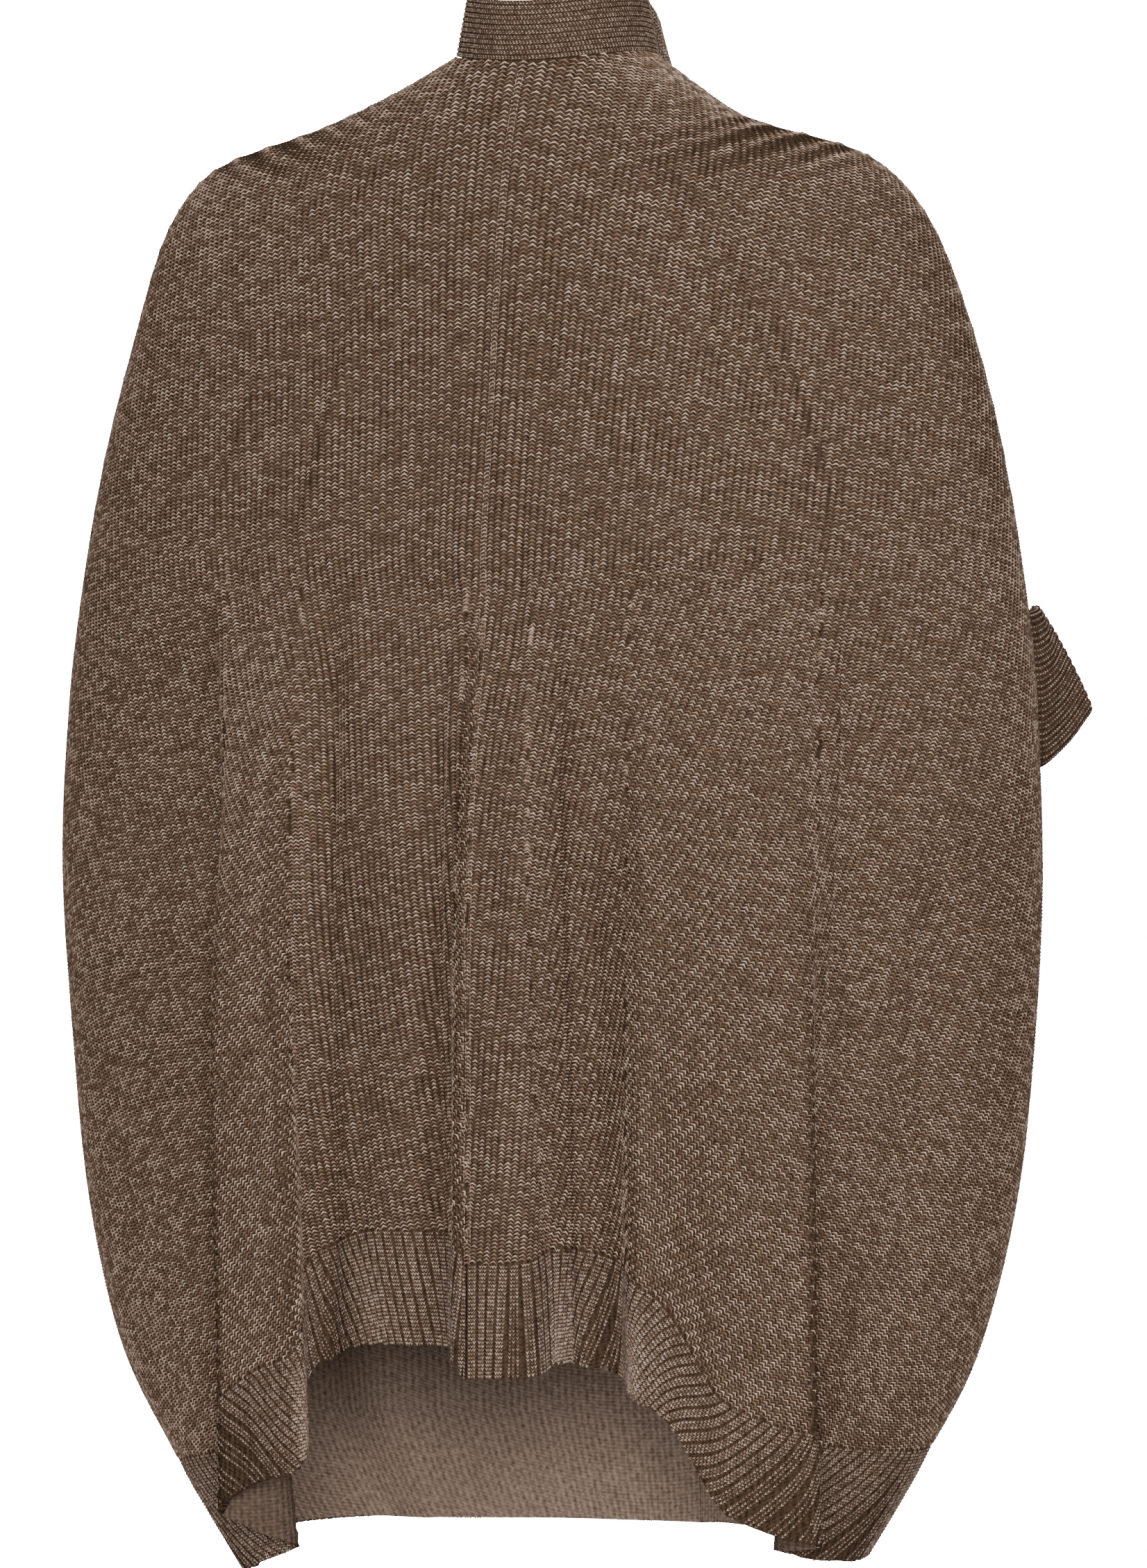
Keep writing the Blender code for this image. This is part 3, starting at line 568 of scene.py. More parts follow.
def panel_columns(cloth, first, last):
    """The columns of a panel's grid, closer together where a fold turns."""
    columns = []
    for i in range(first, last):
        zone, next_zone = cloth.zone[i], cloth.zone[i + 1]
        if zone and i > first:
            half = 8 if abs(cloth.folds[i]["turn"]) > FINE_FOLD_TURN else 5
            columns += list(np.linspace(i - zone, i + zone, 2 * half + 1))[:-1]
        ends = cloth.points([i + zone, i + 1 - next_zone], 0.6)
        spans = max(2, round(np.linalg.norm(ends[1] - ends[0]) / PANEL_SPAN))
        columns += list(np.linspace(i + zone, i + 1 - next_zone, spans + 1))[:-1]
    return np.array(columns + [float(last)])


def stitch_rows(low, high, low_marks, high_marks):
    """Triangles between two rows of vertex numbers, paired by their marks along the row."""
    faces = []
    i = j = 0
    while i < len(low) - 1 or j < len(high) - 1:
        next_low = low_marks[i + 1] if i < len(low) - 1 else math.inf
        next_high = high_marks[j + 1] if j < len(high) - 1 else math.inf
        if next_low - high_marks[j] <= next_high - low_marks[i]:
            faces.append((low[i], low[i + 1], high[j]))
            i += 1
        else:
            faces.append((low[i], high[j + 1], high[j]))
            j += 1
    return faces


class Wall:
    """A closed wall of cloth, its outer face first and its inner face with a finish of its own. A
    row is its vertex numbers and their marks, which pair it with the next row."""

    def __init__(self):
        self.points, self.faces, self.finishes, self.knit = [], [], [], []

    def add_row(self, points, marks, across, along):
        """A row of points, which is a closed ring where it has one more mark than points."""
        first, count = len(self.points), len(points)
        self.points.extend(points)
        self.knit.extend(zip(np.broadcast_to(across, count), np.broadcast_to(along, count)))
        numbers = list(range(first, first + count))
        return (numbers + numbers)[:len(marks)], marks

    def join(self, low_row, high_row, finish=0, side_shade_finish=None):
        (low, low_marks), (high, high_marks) = low_row, high_row
        if len(low) == len(high):
            faces = [(a, b, d, c) for a, b, c, d in zip(low, low[1:], high, high[1:])]
        else:
            faces = stitch_rows(low, high, low_marks, high_marks)
        self.faces += faces
        if side_shade_finish is None:
            self.finishes += [finish] * len(faces)
        else:
            marks = dict(zip([*low, *high], [*low_marks, *high_marks]))
            # Faces by the side seam take the painted-shade finish.
            self.finishes += [side_shade_finish if marks[face[0]] < SIDE_SHADE_STRETCH else finish for face in faces]

    def close(self, outer, inner, side_shade_finish=None, tube=False):
        """Faces over both sides and round the edges. A tube has edges only at its ends."""
        for rows, finish, beside in ((outer, 0, None), (inner, 1, side_shade_finish)):
            for low, high in zip(rows, rows[1:]):
                self.join(low, high, finish, beside)
        for end in (0, -1):
            self.join(outer[end], inner[end])
        for end in () if tube else (0, -1):
            edges = [[numbers[end] for numbers, _ in rows] for rows in (outer, inner)]
            self.join(*[(edge, range(len(edge))) for edge in edges])

    def build(self, name, finishes):
        mesh = bpy.data.meshes.new(name)
        mesh.from_pydata([tuple(p * MM) for p in self.points], [], self.faces)
        mesh.polygons.foreach_set("material_index", self.finishes)
        layer = mesh.uv_layers.new(name="knit")
        for loop in mesh.loops:
            layer.data[loop.index].uv = self.knit[loop.vertex_index]
        work = bmesh.new()
        work.from_mesh(mesh)
        bmesh.ops.recalc_face_normals(work, faces=work.faces)
        if work.calc_volume(signed=True) < 0.0:
            bmesh.ops.reverse_faces(work, faces=work.faces)
        work.to_mesh(mesh)
        work.free()
        mesh.shade_smooth()
        mesh.set_sharp_from_angle(angle=math.radians(60.0))
        for finish in finishes:
            mesh.materials.append(finish)
        return add_object(name, mesh)


def add_object(name, data):
    """A new object in the scene, at the origin."""
    made = bpy.data.objects.new(name, data)
    bpy.context.scene.collection.objects.link(made)
    return made


def pull_in(points, amount):
    """A row of points whose two ends give up a little to the seams."""
    points = points.copy()
    for end, beside in ((0, 1), (-1, -2)):
        way = points[beside] - points[end]
        points[end] = points[end] + way * amount / np.linalg.norm(way)
    return points


def rib_profile(count, height=RIB_HEIGHT):
    """How high a row of ribs stands, four marks a rib and a last one."""
    return height * np.append(np.tile(RIB_SHAPE, count), 0.0)


def panel(name, knit, finishes):
    """One panel, body and ribbed hem in one wall."""
    wall, cloth = Wall(), knit.cloth
    outer, inner = [], []
    for row in range(knit.rib_row + 1):
        skin = pull_in(knit.points[row], SEAM_GAP / 2.0)
        for rows, points in ((outer, skin), (inner, skin - knit.normals[row] * WALL)):
            rows.append(wall.add_row(points, knit.columns, *knit.straight[row].T))
    marks = np.linspace(0.0, knit.ribs, 4 * knit.ribs + 1)
    for step in range(1, BAND_ROWS + 1):
        row = knit.rows[knit.rib_row + step]
        columns = knit.rib_columns(step, marks)
        skin = pull_in(cloth.points(columns, row), SEAM_GAP / 2.0)
        normals = cloth.normals(columns, row)
        grown = min(1.0, step / RIB_RISE_STEPS)
        across, along = [np.interp(columns, knit.columns, part) for part in knit.straight[knit.rib_row].T]
        along += (row - HEM_SHARE) / (1.0 - HEM_SHARE) * HEM_RIB_DEPTH / COURSE_PITCH
        raised = skin + normals * (rib_profile(knit.ribs) * grown)[:, None]
        lining = skin - normals * WALL
        outer.append(wall.add_row(raised, columns, across, along))
        inner.append(wall.add_row(lining[::4], columns[::4], across[::4], along[::4]))
    # Finish 2 is painted shade on the inner face by the side seam.
    wall.close(outer, inner, side_shade_finish=2)
    return wall.build(name, finishes)


def lay_along(points, normals, pitch, lift, size=1.0):
    """Evenly spaced places for stitches along each line of points, all in step at its start."""
    count = points.shape[:2]
    lines = (points, normals, np.zeros(count), np.full(count, size))
    return lay_in_step(lines, pitch, np.zeros(count[1]), lift)


def lay_in_step(lines, pitch, offsets, lift=0.0, from_end=False):
    """Evenly spaced places for stitches along each line, from its rows of points. A line keeps
    step with its neighbours at its first row, or at its last."""
    points, normals, course, size = lines
    places, outs, downs, sizes = [], [], [], []
    for k in range(points.shape[1]):
        shown = np.where(~np.isnan(course[:, k]))[0]
        if len(shown) < 3:
            continue
        path, out, big = points[shown, k], normals[shown, k], size[shown, k]
        steps = np.linalg.norm(np.diff(path, axis=0), axis=1) * 2.0 / (big[1:] + big[:-1])
        way = np.concatenate(([0.0], np.cumsum(np.maximum(steps, 1e-4))))
        way += course[shown[-1], k] - way[-1] if from_end else course[shown[0], k]
        first = math.ceil(way[0] / pitch - offsets[k])
        spots = (np.arange(first, int(way[-1] / pitch) + 1) + offsets[k]) * pitch
        spots = spots[(spots > way[0] + 0.1) & (spots < way[-1] + 0.01)]

        def read(values):
            return np.stack([np.interp(spots, way, values[:, i]) for i in range(3)], axis=1)

        normal = unit(read(out))
        places.append(read(path) + normal * lift)
        outs.append(normal)
        downs.append(unit(read(np.gradient(path, axis=0))))
        sizes.append(np.interp(spots, way, big))
    return [np.concatenate(part) for part in (places, outs, downs, sizes)]


def body_stitches(knit):
    """Places of the pearl rib's arches on a panel, half a course apart from wale to wale."""
    whole = np.full(len(knit.columns), True)
    above = range(knit.even + 1)
    below = range(knit.even, knit.rib_row + 1)
    parts = [wale_stitches(knit, above, whole, knit.wale, knit.course, SEAM_REACH, from_end=True)]
    for strip in knit.strips:
        parts.append(wale_stitches(knit, below, *strip, FOLD_REACH, from_end=False))
    return [np.concatenate(part) for part in zip(*parts)]


def wale_stitches(knit, rows, inside, wales, courses, reach, from_end):
    """The arches on one stretch of columns, over some of the rows. A wale that leaves the stretch
    goes on along its edge for a little reach."""
    columns = knit.columns[inside]
    wales, courses = wales[:len(rows)], courses[:len(rows)]
    lowest, highest = math.ceil(wales.min() / WALE_PITCH), math.floor(wales.max() / WALE_PITCH)
    counts = np.arange(lowest, highest + 1)
    spots = counts * WALE_PITCH
    found = []
    for row, wale, course in zip(rows, wales, courses):
        at = np.interp(spots, wale, columns)
        at[(spots < wale[0] - reach) | (spots > wale[-1] + reach)] = np.nan

        def read(values):
            return np.stack([np.interp(at, columns, values[:, k]) for k in range(3)], axis=1)

        found.append((read(knit.points[row, inside]), read(knit.normals[row, inside]),
                      np.interp(at, columns, course), np.full(len(at), 1.0 / knit.gauge[row])))
    lines = [np.array(part) for part in zip(*found)]
    return lay_in_step(lines, COURSE_PITCH, counts % 2 * 0.5, from_end=from_end)


def rib_stitches(knit):
    """Places of the hem's stitches, in wales along each rib."""
    marks = np.sort(np.concatenate([np.arange(knit.ribs) + 0.5 + side for side in HEM_WALES]))
    found = []
    for step in range(BAND_ROWS + 1):
        row = knit.rows[knit.rib_row + step]
        columns = knit.rib_columns(step, marks)
        normals = knit.cloth.normals(columns, row)
        raised = RIB_HEIGHT * min(1.0, step / RIB_RISE_STEPS)
        found.append((knit.cloth.points(columns, row) + normals * raised, normals))
    points, normals = [np.array(part) for part in zip(*found)]
    return lay_along(points, normals, COURSE_PITCH, RIB_STITCH_LIFT)


def set_inputs(tree, node, inputs):
    """Each input gets a value, or a link from another node's output."""
    for name, value in inputs.items():
        if hasattr(value, "links"):
            tree.links.new(value, node.inputs[name])
        else:
            node.inputs[name].default_value = value


def add_node(tree, kind, inputs=None, **settings):
    node = tree.nodes.new(kind)
    for name, value in settings.items():
        setattr(node, name, value)
    set_inputs(tree, node, inputs or {})
    return node


def number(tree, operation, *values):
    """What one step of arithmetic gives, on values or other nodes' outputs."""
    return add_node(tree, "ShaderNodeMath", dict(enumerate(values)), operation=operation).outputs[0]


def stitch_layer():
    """Geometry nodes that put one stitch on each place, turned along its wale and a little uneven."""
    group = bpy.data.node_groups.new("lay_stitches", "GeometryNodeTree")
    inputs = {}
    for name, kind, value in (
            ("Places", "Geometry", None), ("Stitch", "Object", None), ("Width", "Float", 1.0),
            ("Length", "Float", 1.0), ("Height", "Float", 1.0), ("Unevenness", "Float", 0.12),
            ("Seed", "Int", 1), ("Yarn", "Material", None)):
        socket = group.interface.new_socket(name, in_out="INPUT", socket_type="NodeSocket" + kind)
        if value is not None:
            socket.default_value = value
        inputs[name] = socket.identifier
    group.interface.new_socket("Stitches", in_out="OUTPUT", socket_type="NodeSocketGeometry")
    start = add_node(group, "NodeGroupInput").outputs

    def named(name, kind="FLOAT_VECTOR"):
        node = add_node(group, "GeometryNodeInputNamedAttribute", {"Name": name}, data_type=kind)
        return node.outputs["Attribute"]

    def uneven(extra):
        """A number near 1 that changes from stitch to stitch. A random value's inputs 2 and 3 are
        its least and its most, and its output 1 is the number."""
        least = number(group, "SUBTRACT", 1.0, start["Unevenness"])
        most = number(group, "ADD", 1.0, start["Unevenness"])
        seed = number(group, "ADD", start["Seed"], extra)
        return add_node(group, "FunctionNodeRandomValue", {2: least, 3: most, "Seed": seed},
                        data_type="FLOAT").outputs[1]

    outwards = add_node(group, "FunctionNodeAlignRotationToVector", {"Vector": named("out")}, axis="Z")
    along = add_node(group, "FunctionNodeAlignRotationToVector",
                     {"Rotation": outwards.outputs["Rotation"], "Vector": named("down")},
                     axis="Y", pivot_axis="Z")
    shape = add_node(group, "GeometryNodeObjectInfo", {"Object": start["Stitch"]},
                     transform_space="ORIGINAL")
    wide, long = [number(group, "MULTIPLY", start[name], named("spread", "FLOAT"))
                  for name in ("Width", "Length")]
    size = add_node(group, "ShaderNodeCombineXYZ", {
        i: number(group, "MULTIPLY", value, uneven(i + 1.0))
        for i, value in enumerate((wide, long, start["Height"]))})
    put = add_node(group, "GeometryNodeInstanceOnPoints", {
        "Points": start["Places"], "Instance": shape.outputs["Geometry"],
        "Rotation": along.outputs["Rotation"], "Scale": size.outputs[0]})
    tone = add_node(group, "FunctionNodeRandomValue", {"Seed": start["Seed"]}, data_type="FLOAT")
    toned = add_node(group, "GeometryNodeStoreNamedAttribute", {
        "Name": "tone", "Geometry": put.outputs["Instances"], "Value": tone.outputs[1]},
        data_type="FLOAT", domain="INSTANCE")
    real = add_node(group, "GeometryNodeRealizeInstances", {"Geometry": toned.outputs["Geometry"]})
    finish = add_node(group, "GeometryNodeSetMaterial", {
        "Geometry": real.outputs["Geometry"], "Material": start["Yarn"]})
    add_node(group, "NodeGroupOutput", {"Stitches": finish.outputs["Geometry"]})
    return group, inputs


def stitch_shape(name, width, top, bottom, notch, crest, foot):
    """One stitch: two legs that meet in a point, with a crest over them, four faces in all."""
    deep, high = -0.2, 1.0
    corners = ((-width, bottom, foot), (0.0, top, deep), (width, bottom, foot), (0.0, notch, deep),
               (0.0, crest, high))
    faces = ((0, 1, 4), (1, 2, 4), (2, 3, 4), (3, 0, 4))
    mesh = bpy.data.meshes.new(name)
    mesh.from_pydata([tuple(c * MM for c in corner) for corner in corners], [], faces)
    mesh.update()
    if mesh.polygons[0].normal.z < 0.0:
        mesh.flip_normals()
    mesh.shade_smooth()
    return bpy.data.objects.new(name, mesh)


def make_stitches(name, places, shape, sizes, seed, yarn):
    """Real stitches on their places, as one plain mesh."""
    points, outs, downs, spreads = places
    mesh = bpy.data.meshes.new(name + "_places")
    mesh.from_pydata([tuple(p) for p in points * MM], [], [])
    for attribute, values in (("out", outs), ("down", downs), ("spread", spreads)):
        is_vector = values.ndim > 1
        layer = mesh.attributes.new(attribute, "FLOAT_VECTOR" if is_vector else "FLOAT", "POINT")
        layer.data.foreach_set("vector" if is_vector else "value", values.ravel())
    spots = add_object(name + "_places", mesh)
    layer = spots.modifiers.new("stitches", "NODES")
    layer.node_group, inputs = STITCH_LAYER
    for key, value in zip(("Stitch", "Width", "Length", "Height", "Seed", "Yarn"),
                          (shape, *sizes, seed, yarn)):
        layer[inputs[key]] = value
    bpy.context.view_layer.update()
    shown = spots.evaluated_get(bpy.context.evaluated_depsgraph_get())
    made = bpy.data.meshes.new_from_object(shown)
    made.name = name
    for attribute in ("out", "down", "spread"):
        if attribute in made.attributes:
            made.attributes.remove(made.attributes[attribute])
    spots.modifiers.clear()
    bpy.data.objects.remove(spots)
    return add_object(name, made)


def band_path(back, front_left, front_right):
    """Where the band is sewn on, from the left front's hem round the neck to the right front's."""
    rows = [0.0]
    for end, steps in ((UPPER_SHARE, 26), (HEM_SHARE, 36), (1.0, 4)):
        rows += list(np.linspace(rows[-1], end, steps + 1))[1:]
    edge = len(front_left.folds) - 1
    points, normals, stands = [], [], []

    def add(cloth, columns, row):
        place = cloth.points(columns, row)
        points.extend(place)
        normals.extend(cloth.normals(columns, row))
        stands.extend(smooth((place[:, 2] - BAND_FLAT_Z) / -BAND_FLAT_Z))

    for row in rows[:0:-1]:
        add(front_left, [edge], row)
    add(front_left, np.linspace(edge, 0.0, 8), 0.0)
    add(back, np.linspace(0.0, len(back.folds) - 1.0, 41)[1:-1], 0.0)
    add(front_right, np.linspace(0.0, edge, 8), 0.0)
    for row in rows[1:]:
        add(front_right, [edge], row)
    return np.array(points), np.array(normals), np.array(stands)


def collar_band(cloths, finishes):
    """The band round the neck and down both fronts, ribbed along its length, and the places of
    its stitches."""
    points, normals, stands = band_path(*cloths)
    ahead = unit(np.gradient(points, axis=0))
    flat = unit(np.cross(normals, ahead))
    inwards = -points * (1.0, 1.0, 0.0) / np.linalg.norm(points[:, :2], axis=1)[:, None]
    upright = math.cos(COLLAR_LEAN) * np.array((0.0, 0.0, 1.0)) + math.sin(COLLAR_LEAN) * inwards
    across = unit(flat * (1.0 - stands)[:, None] + upright * stands[:, None])
    outwards = unit(np.cross(ahead, across))
    outer_marks = np.linspace(0.0, 1.0, 4 * BAND_RIBS + 1)
    inner_marks = np.linspace(0.0, 1.0, 4)
    wales = BAND_RIBS * RIB_WALES
    wall = Wall()
    outer, inner = [], []
    for base, way, out, along in zip(points, across, outwards, travelled(points) / COURSE_PITCH):
        sewn = base + way * SEAM_GAP
        skin = sewn + outer_marks[:, None] * way * BAND_WIDTH
        skin += rib_profile(BAND_RIBS, BAND_RIB_HEIGHT)[:, None] * out
        lining = sewn + inner_marks[:, None] * way * BAND_WIDTH - out * BAND_WALL
        outer.append(wall.add_row(skin, outer_marks, outer_marks * wales, along))
        inner.append(wall.add_row(lining, inner_marks, inner_marks * wales, along))
    wall.close(outer, inner)
    spots = [(rib + 0.5 + side) / BAND_RIBS for rib in range(BAND_RIBS) for side in BAND_WALES]
    lines = (np.array(spots)[None, :, None] * across[:, None, :] * BAND_WIDTH + points[:, None, :]
             + across[:, None, :] * SEAM_GAP + outwards[:, None, :] * BAND_RIB_HEIGHT)
    out_lines = np.broadcast_to(outwards[:, None, :], lines.shape)
    places = lay_along(lines, out_lines, COURSE_PITCH, RIB_STITCH_LIFT)
    return wall.build("collar_band_cloth", finishes), places


def body_frame(side, beside, height):
    """A point on the side seam, or beside it, and the ways outwards, forwards and up there."""
    form = ring(level_at(np.array([math.pi / 2.0]), np.array([height]))[0])
    angle = side * math.radians(form["seam_left"] if side < 0.0 else form["seam_right"])
    width, depth = half_widths(form, np.array([angle]))
    angle += side * beside / math.hypot(width[0] * math.cos(angle), depth[0] * math.sin(angle))
    width, depth = half_widths(form, np.array([angle]))
    point = np.array((-width[0] * math.sin(angle), depth[0] * math.cos(angle), height))
    out = unit(point * (1.0 / width[0] ** 2, 1.0 / depth[0] ** 2, 0.0))
    forwards = np.cross((0.0, 0.0, side), out)
    return point, out, forwards, np.array((0.0, 0.0, 1.0))


def oval(count, half, half_height):
    """Points evenly spaced round a long oval with straight sides."""
    turns = np.linspace(0.0, 2.0 * math.pi, 721)
    beside = half * np.cos(turns)
    above = half * np.sin(turns) + (half_height - half) * np.clip(1.3 * np.sin(turns), -1.0, 1.0)
    steps = np.hypot(np.diff(beside), np.diff(above))
    length = np.concatenate(([0.0], np.cumsum(steps)))
    places = np.arange(count) / count * length[-1]
    return np.interp(places, length, beside), np.interp(places, length, above)


def cuff_loops(side, count):
    """Rings of points of a cuff's outer face, from the body to its open end."""
    middle_z = (SLIT_TOP_Z + SLIT_BOTTOM_Z) / 2.0
    sewn, straight = [], []
    for beside, above in zip(*oval(count, CUFF_HALF, CUFF_HALF_HEIGHT)):
        point, out, forwards, up = body_frame(side, beside, middle_z + above)
        sewn.append(point + out * SEAM_GAP)
        straight.append(point + out * (SEAM_GAP + CUFF_STRAIGHT))
    centre, *frame_ways = body_frame(side, 0.0, middle_z)
    centre = centre + np.array(CUFF_MOUTH) @ np.array(frame_ways)
    down = unit(np.array(CUFF_MOUTH_DOWN) @ np.array(frame_ways))
    ahead = unit(frame_ways[1] - down * np.dot(frame_ways[1], down))
    mouth = [centre + ahead * beside - down * above
             for beside, above in zip(*oval(count, CUFF_MOUTH_HALF, CUFF_MOUTH_HALF_HEIGHT))]
    sewn, straight, mouth = np.array(sewn), np.array(straight), np.array(mouth)
    halfway = straight * 0.6 + mouth * 0.4 + (straight - sewn) * 0.7
    coarse = np.array([sewn, straight, halfway, mouth])
    steps = np.linspace(0.0, 3.0, 3 * CUFF_STEPS + 1)
    fine = [[curve(range(4), coarse[:, i, k], steps) for k in range(3)] for i in range(count)]
    return np.array(fine).transpose(2, 0, 1)


def cuff(side, name, finishes):
    """One ribbed cuff, an open tube, and the places of its stitches."""
    ribs = round(CUFF_GIRTH * CUFF_HALF_HEIGHT / RIB_PITCH)
    count = 4 * ribs
    loops = cuff_loops(side, count)
    around = np.roll(loops, -1, axis=1) - np.roll(loops, 1, axis=1)
    normals = unit(np.cross(around, np.gradient(loops, axis=0))) * side
    grown = np.minimum(np.arange(len(loops)) / CUFF_STEPS, 1.0)[:, None, None]
    raised = loops + normals * (rib_profile(ribs)[:-1][None, :, None] * grown)
    wall = Wall()
    marks = np.arange(count + 1.0)
    wales = np.arange(count) / 4.0 * RIB_WALES
    courses = travelled(loops) / COURSE_PITCH
    outer, inner = [[wall.add_row(skin, marks, wales, along) for skin, along in zip(skins, courses)]
                    for skins in (raised, loops - normals * CUFF_WALL)]
    wall.close(outer, inner, tube=True)
    spots = np.concatenate([np.arange(ribs) * 4 + 1, np.arange(ribs) * 4 + 3])
    places = lay_along(raised[:, spots], normals[:, spots], COURSE_PITCH, RIB_STITCH_LIFT,
                       CUFF_STITCH_SIZE)
    return wall.build(name + "_cloth", finishes), places


def seam_chain(knit, end):
    """Places of the chain stitches beside the centre-back seam, on one panel."""
    rows = slice(1, knit.rib_row + 1)
    inwards = unit(knit.across[rows, end]) * (1.0 if end == 0 else -1.0)
    path = knit.points[rows, end] + inwards * CHAIN_BESIDE
    return lay_along(path[:, None], knit.normals[rows, end][:, None], CHAIN_PITCH, CHAIN_LIFT)


def new_finish(name):
    """A material, its nodes, and the place on the piece that its patterns read."""
    material = bpy.data.materials.new(name)
    material.use_nodes = True
    tree = material.node_tree
    return material, tree, add_node(tree, "ShaderNodeTexCoord").outputs["Object"]


def noise(tree, place, scale, detail):
    return add_node(tree, "ShaderNodeTexNoise",
                    {"Vector": place, "Scale": scale, "Detail": detail}).outputs["Fac"]


def matt(tree, tone, colours, relief, strength, depth):
    """A matt surface, coloured by its tone from the first colour to the last, with a fine relief."""
    ramp = add_node(tree, "ShaderNodeValToRGB", {"Fac": tone})
    stops = ramp.color_ramp.elements
    stops[0].color, stops[1].color = [(*colour, 1.0) for colour in (colours[0], colours[-1])]
    for colour in colours[1:-1]:
        stops.new(0.5).color = (*colour, 1.0)
    bump = add_node(tree, "ShaderNodeBump", {"Height": relief, "Strength": strength, "Distance": depth})
    set_inputs(tree, tree.nodes["Principled BSDF"], {
        "Base Color": ramp.outputs["Color"], "Normal": bump.outputs["Normal"],
        "Roughness": KNIT_ROUGHNESS, "Specular IOR Level": 0.0})


def yarn(name, *colours):
    """Heathered yarn: its tone changes from stitch to stitch and along the fibres."""
    material, tree, place = new_finish(name)
    stitch = add_node(tree, "ShaderNodeAttribute", attribute_name="tone").outputs["Fac"]
    fibres = noise(tree, place, FIBRE_SCALE, 3.0)
    tone = number(tree, "MULTIPLY_ADD", fibres, 0.9, stitch)
    tone = number(tree, "MULTIPLY_ADD", noise(tree, place, HEATHER_SCALE, 4.0), 0.5, tone)
    scaled = add_node(tree, "ShaderNodeMapRange", {"Value": tone, "From Min": 0.30, "From Max": 2.0})
    matt(tree, scaled.outputs["Result"], colours, fibres, 0.5, 0.0003)
    return material


def knitted(name, depth, *colours):
    """A knitted face: rows of small loops along the wales and courses, with painted shade between them.
    """
    material, tree, place = new_finish(name)
    knit = add_node(tree, "ShaderNodeUVMap", uv_map="knit")
    apart = add_node(tree, "ShaderNodeSeparateXYZ", {0: knit.outputs["UV"]}).outputs
    across, along = [number(tree, "COSINE", number(tree, "MULTIPLY", apart[i], 2.0 * math.pi))
                     for i in range(2)]
    loops = number(tree, "MULTIPLY_ADD", along, 0.3, number(tree, "MULTIPLY", across, 0.5))
    heather = number(tree, "MULTIPLY_ADD", noise(tree, place, HEATHER_SCALE, 5.0), 1.5, -0.25)
    # The loops' tone darkens the gaps between them: painted shade.
    tone = number(tree, "ADD", number(tree, "MULTIPLY", loops, 0.30), heather)
    matt(tree, tone, colours, loops, 0.7, depth)
    return material


def dress(piece, node=None):
    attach(piece, "root")
    if node:
        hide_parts(node)


def studio():
    """A plain pale floor that fades into the light round it, soft lights, and the camera."""
    mesh = bpy.data.meshes.new("floor")
    turns = [2.0 * math.pi * i / FLOOR_SIDES for i in range(FLOOR_SIDES)]
    rim = [(FLOOR_RADIUS * math.cos(a), FLOOR_RADIUS * math.sin(a), FLOOR_Z) for a in turns]
    mesh.from_pydata(rim, [], [range(FLOOR_SIDES)])
    paper, tree, place = new_finish("pale_paper")
    centred = add_node(tree, "ShaderNodeMapping", {"Vector": place, "Location": (0.0, 0.0, -FLOOR_Z)})
    reach = add_node(tree, "ShaderNodeVectorMath", {0: centred.outputs["Vector"]}, operation="LENGTH")
    fade = add_node(tree, "ShaderNodeMapRange", {
        "Value": reach.outputs["Value"], "From Min": FLOOR_FADE[0], "From Max": FLOOR_FADE[1],
        "To Min": 1.0, "To Max": 0.0})
    set_inputs(tree, tree.nodes["Principled BSDF"], {
        "Base Color": (0.9, 0.9, 0.9, 1.0), "Roughness": 0.95, "Alpha": fade.outputs["Result"]})
    mesh.materials.append(paper)
    add_object("floor", mesh)

    world = bpy.data.worlds.new("studio")
    bpy.context.scene.world = world
    world.use_nodes = True
    tree = world.node_tree
    room = tree.nodes["Background"]
    set_inputs(tree, room, {"Color": (1.0, 1.0, 1.0, 1.0), "Strength": ROOM_LIGHT})
    white = add_node(tree, "ShaderNodeBackground", {"Strength": PAPER_WHITE})
    seen = add_node(tree, "ShaderNodeLightPath")
    either = add_node(tree, "ShaderNodeMixShader", {
        "Fac": seen.outputs["Is Camera Ray"], 1: room.outputs["Background"],
        2: white.outputs["Background"]})
    set_inputs(tree, tree.nodes["World Output"], {"Surface": either.outputs["Shader"]})

    for name, azimuth, elevation, distance, power in LIGHTS:
        turn, rise = math.radians(azimuth), math.radians(elevation)
        way = np.array((math.sin(turn) * math.cos(rise), -math.cos(turn) * math.cos(rise),
                        math.sin(rise)))
        lamp = bpy.data.lights.new(name, "AREA")
        lamp.shape = "SQUARE"
        lamp.size = LIGHT_SIZE
        lamp.energy = power
        stand = add_object(name, lamp)
        stand.location = tuple(np.array(LIGHT_AIM) + way * distance)
        stand.rotation_euler = (math.pi / 2.0 - rise, 0.0, turn)

    across, out = CAMERA_ACROSS * MM, CAMERA_DISTANCE * MM
    aim = np.array((-across * math.cos(VIEW_TURN), -across * math.sin(VIEW_TURN), CAMERA_HEIGHT * MM))
    camera = add_object("camera", bpy.data.cameras.new("camera"))
    camera.location = tuple(aim + out * np.array((-math.sin(VIEW_TURN), math.cos(VIEW_TURN), 0.0)))
    camera.rotation_euler = (math.pi / 2.0, 0.0, math.pi + VIEW_TURN)
    camera.data.sensor_fit = "VERTICAL"
    camera.data.sensor_height = SENSOR_HEIGHT
    camera.data.lens = SENSOR_HEIGHT * CAMERA_DISTANCE / (PHOTO_HEIGHT * PIXEL)
    camera.data.clip_end = 60.0
    bpy.context.scene.camera = camera


# The camera: how many millimetres a pixel of the photograph spans at the body's middle, how high
# the photograph is in pixels, and where the camera looks.
PIXEL = 0.408
PHOTO_HEIGHT = 2259
SENSOR_HEIGHT = 36.0
CAMERA_DISTANCE = 5000.0
CAMERA_ACROSS = 5.7
CAMERA_HEIGHT = -428.0

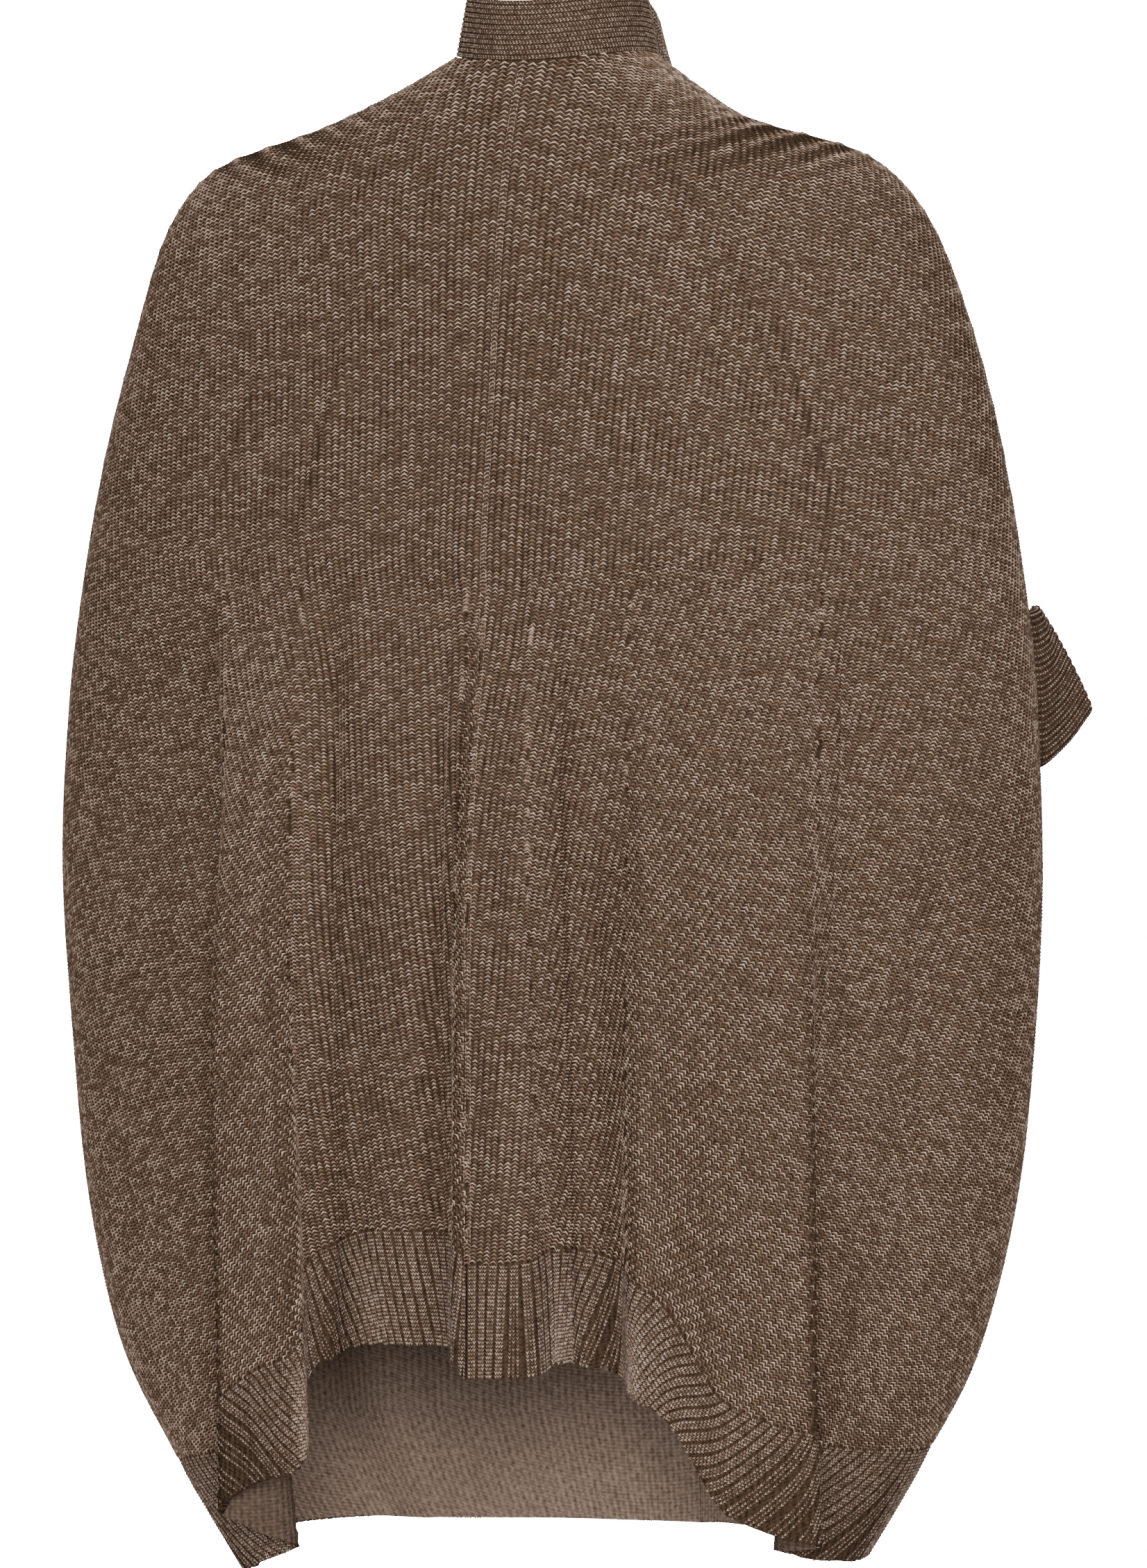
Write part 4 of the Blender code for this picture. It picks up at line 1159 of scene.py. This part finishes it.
# The studio, in metres. Each light: its azimuth, elevation, distance and power.
FLOOR_Z = -0.96
FLOOR_RADIUS = 3.0
FLOOR_SIDES = 96
FLOOR_FADE = (0.35, 0.74)
ROOM_LIGHT = 0.34
PAPER_WHITE = 40.0
LIGHT_SIZE = 1.6
LIGHT_AIM = (0.0, 0.0, -0.43)
LIGHTS = (
    ("key", 200.0, 6.0, 6.0, 262.0),
    ("left_key", 172.0, 6.0, 6.0, 70.0),
    ("right_key", 232.0, 6.0, 6.0, 105.0),
    ("top", 196.0, 48.0, 3.6, 40.0),
    ("front", 20.0, 20.0, 5.0, 120.0),
)

# The finishes, from the darkest colour of each to the lightest.
KNIT_ROUGHNESS = 0.95
FIBRE_SCALE = 900.0
HEATHER_SCALE = 420.0
# The ground under the stitches: the yarn's brown made much darker, as painted shade in the gaps between
# the stitches.
SHADE_PAINTED_GROUND = knitted("knit_ground_painted_shade", 0.0006, (0.016, 0.010, 0.006), (0.085, 0.053, 0.034))
# The inside finish in a darker copy: painted shade, on the back's inside and on a front's inside by the
# side seam.
PAINTED_SHADE_INSIDE = knitted("knit_painted_shade_inside", 0.0004, (0.040, 0.026, 0.019), (0.150, 0.105, 0.078))
INSIDE = knitted("knit_inside", 0.0004, (0.100, 0.066, 0.048), (0.370, 0.270, 0.208))
BODY_YARN = yarn("body_yarn", (0.055, 0.032, 0.020), (0.250, 0.165, 0.116), (0.700, 0.530, 0.415))
RIB_YARN = yarn("rib_yarn", (0.060, 0.038, 0.027), (0.235, 0.162, 0.122), (0.580, 0.445, 0.365))
SEAM_YARN = yarn("seam_yarn", (0.070, 0.044, 0.030), (0.270, 0.185, 0.135), (0.640, 0.490, 0.385))

# The stitches' shapes, and how wide, long and high each kind is laid.
ARCH = stitch_shape("arch_stitch", 2.30, -1.15, 0.95, 0.05, -0.45, 0.12)
LEGS = stitch_shape("leg_stitch", 0.95, 1.15, -0.95, -0.30, 0.30, 0.0)
STITCH_LAYER = stitch_layer()
BODY_SIZES = (1.0, 1.0, 0.95)
RIB_SIZES = (1.0, 1.0, 0.55)
BAND_SIZES = (0.75, 0.9, 0.45)
SEAM_SIZES = (0.5, 1.0, 0.6)

# Each panel: its cloth, its first and last fold, and its cut: width and length in metres, and the
# area in square metres.
PANELS = (
    ("back_left", "back", 0, 4, (0.54, 0.80), 0.34),
    ("back_right", "back", 4, 8, (0.54, 0.80), 0.34),
    ("front_left", "front_left", 0, 3, (0.54, 0.80), 0.34),
    ("front_right", "front_right", 0, 3, (0.54, 0.80), 0.34),
)


def dress_panel(knit, name, seed):
    """A panel with its body's and hem's stitches, and on the back those of the centre seam."""
    is_back = knit.cloth.is_back
    # The back's inside is all painted shade; a front's inside has it by the side seam only.
    piece = panel(name + "_cloth", knit, (SHADE_PAINTED_GROUND, PAINTED_SHADE_INSIDE if is_back else INSIDE, PAINTED_SHADE_INSIDE))
    dress(piece, name)
    kinds = [("_stitches", body_stitches(knit), ARCH, BODY_SIZES, seed, BODY_YARN),
             ("_hem_stitches", rib_stitches(knit), LEGS, RIB_SIZES, seed + 20, RIB_YARN)]
    if is_back:
        chain = seam_chain(knit, 0 if knit.first else -1)
        kinds.append(("_seam_chain", chain, LEGS, SEAM_SIZES, seed + 40, SEAM_YARN))
    added = [make_stitches(name + ending, *kind) for ending, *kind in kinds]
    for extra in added:
        dress(extra)


def main():
    cloths = {name: Cloth(name, folds) for name, folds in (("back", BACK_FOLDS), *FRONT_FOLDS.items())}
    for seed, (name, cloth, first, last, cut, area) in enumerate(PANELS, start=1):
        dress_panel(Knit(cloths[cloth], first, last), name, seed)
    band, places = collar_band(cloths.values(), (SHADE_PAINTED_GROUND, INSIDE))
    dress(band, "collar_band")
    added = make_stitches("collar_band_stitches", places, LEGS, BAND_SIZES, 31, RIB_YARN)
    dress(added)
    for side, name in ((-1.0, "cuff_left"), (1.0, "cuff_right")):
        piece, places = cuff(side, name, (SHADE_PAINTED_GROUND, INSIDE))
        dress(piece, name)
        added = make_stitches(name + "_stitches", places, LEGS, RIB_SIZES, 33, RIB_YARN)
        dress(added)
    for shape in (ARCH, LEGS):
        bpy.data.objects.remove(shape)
    studio()


main()
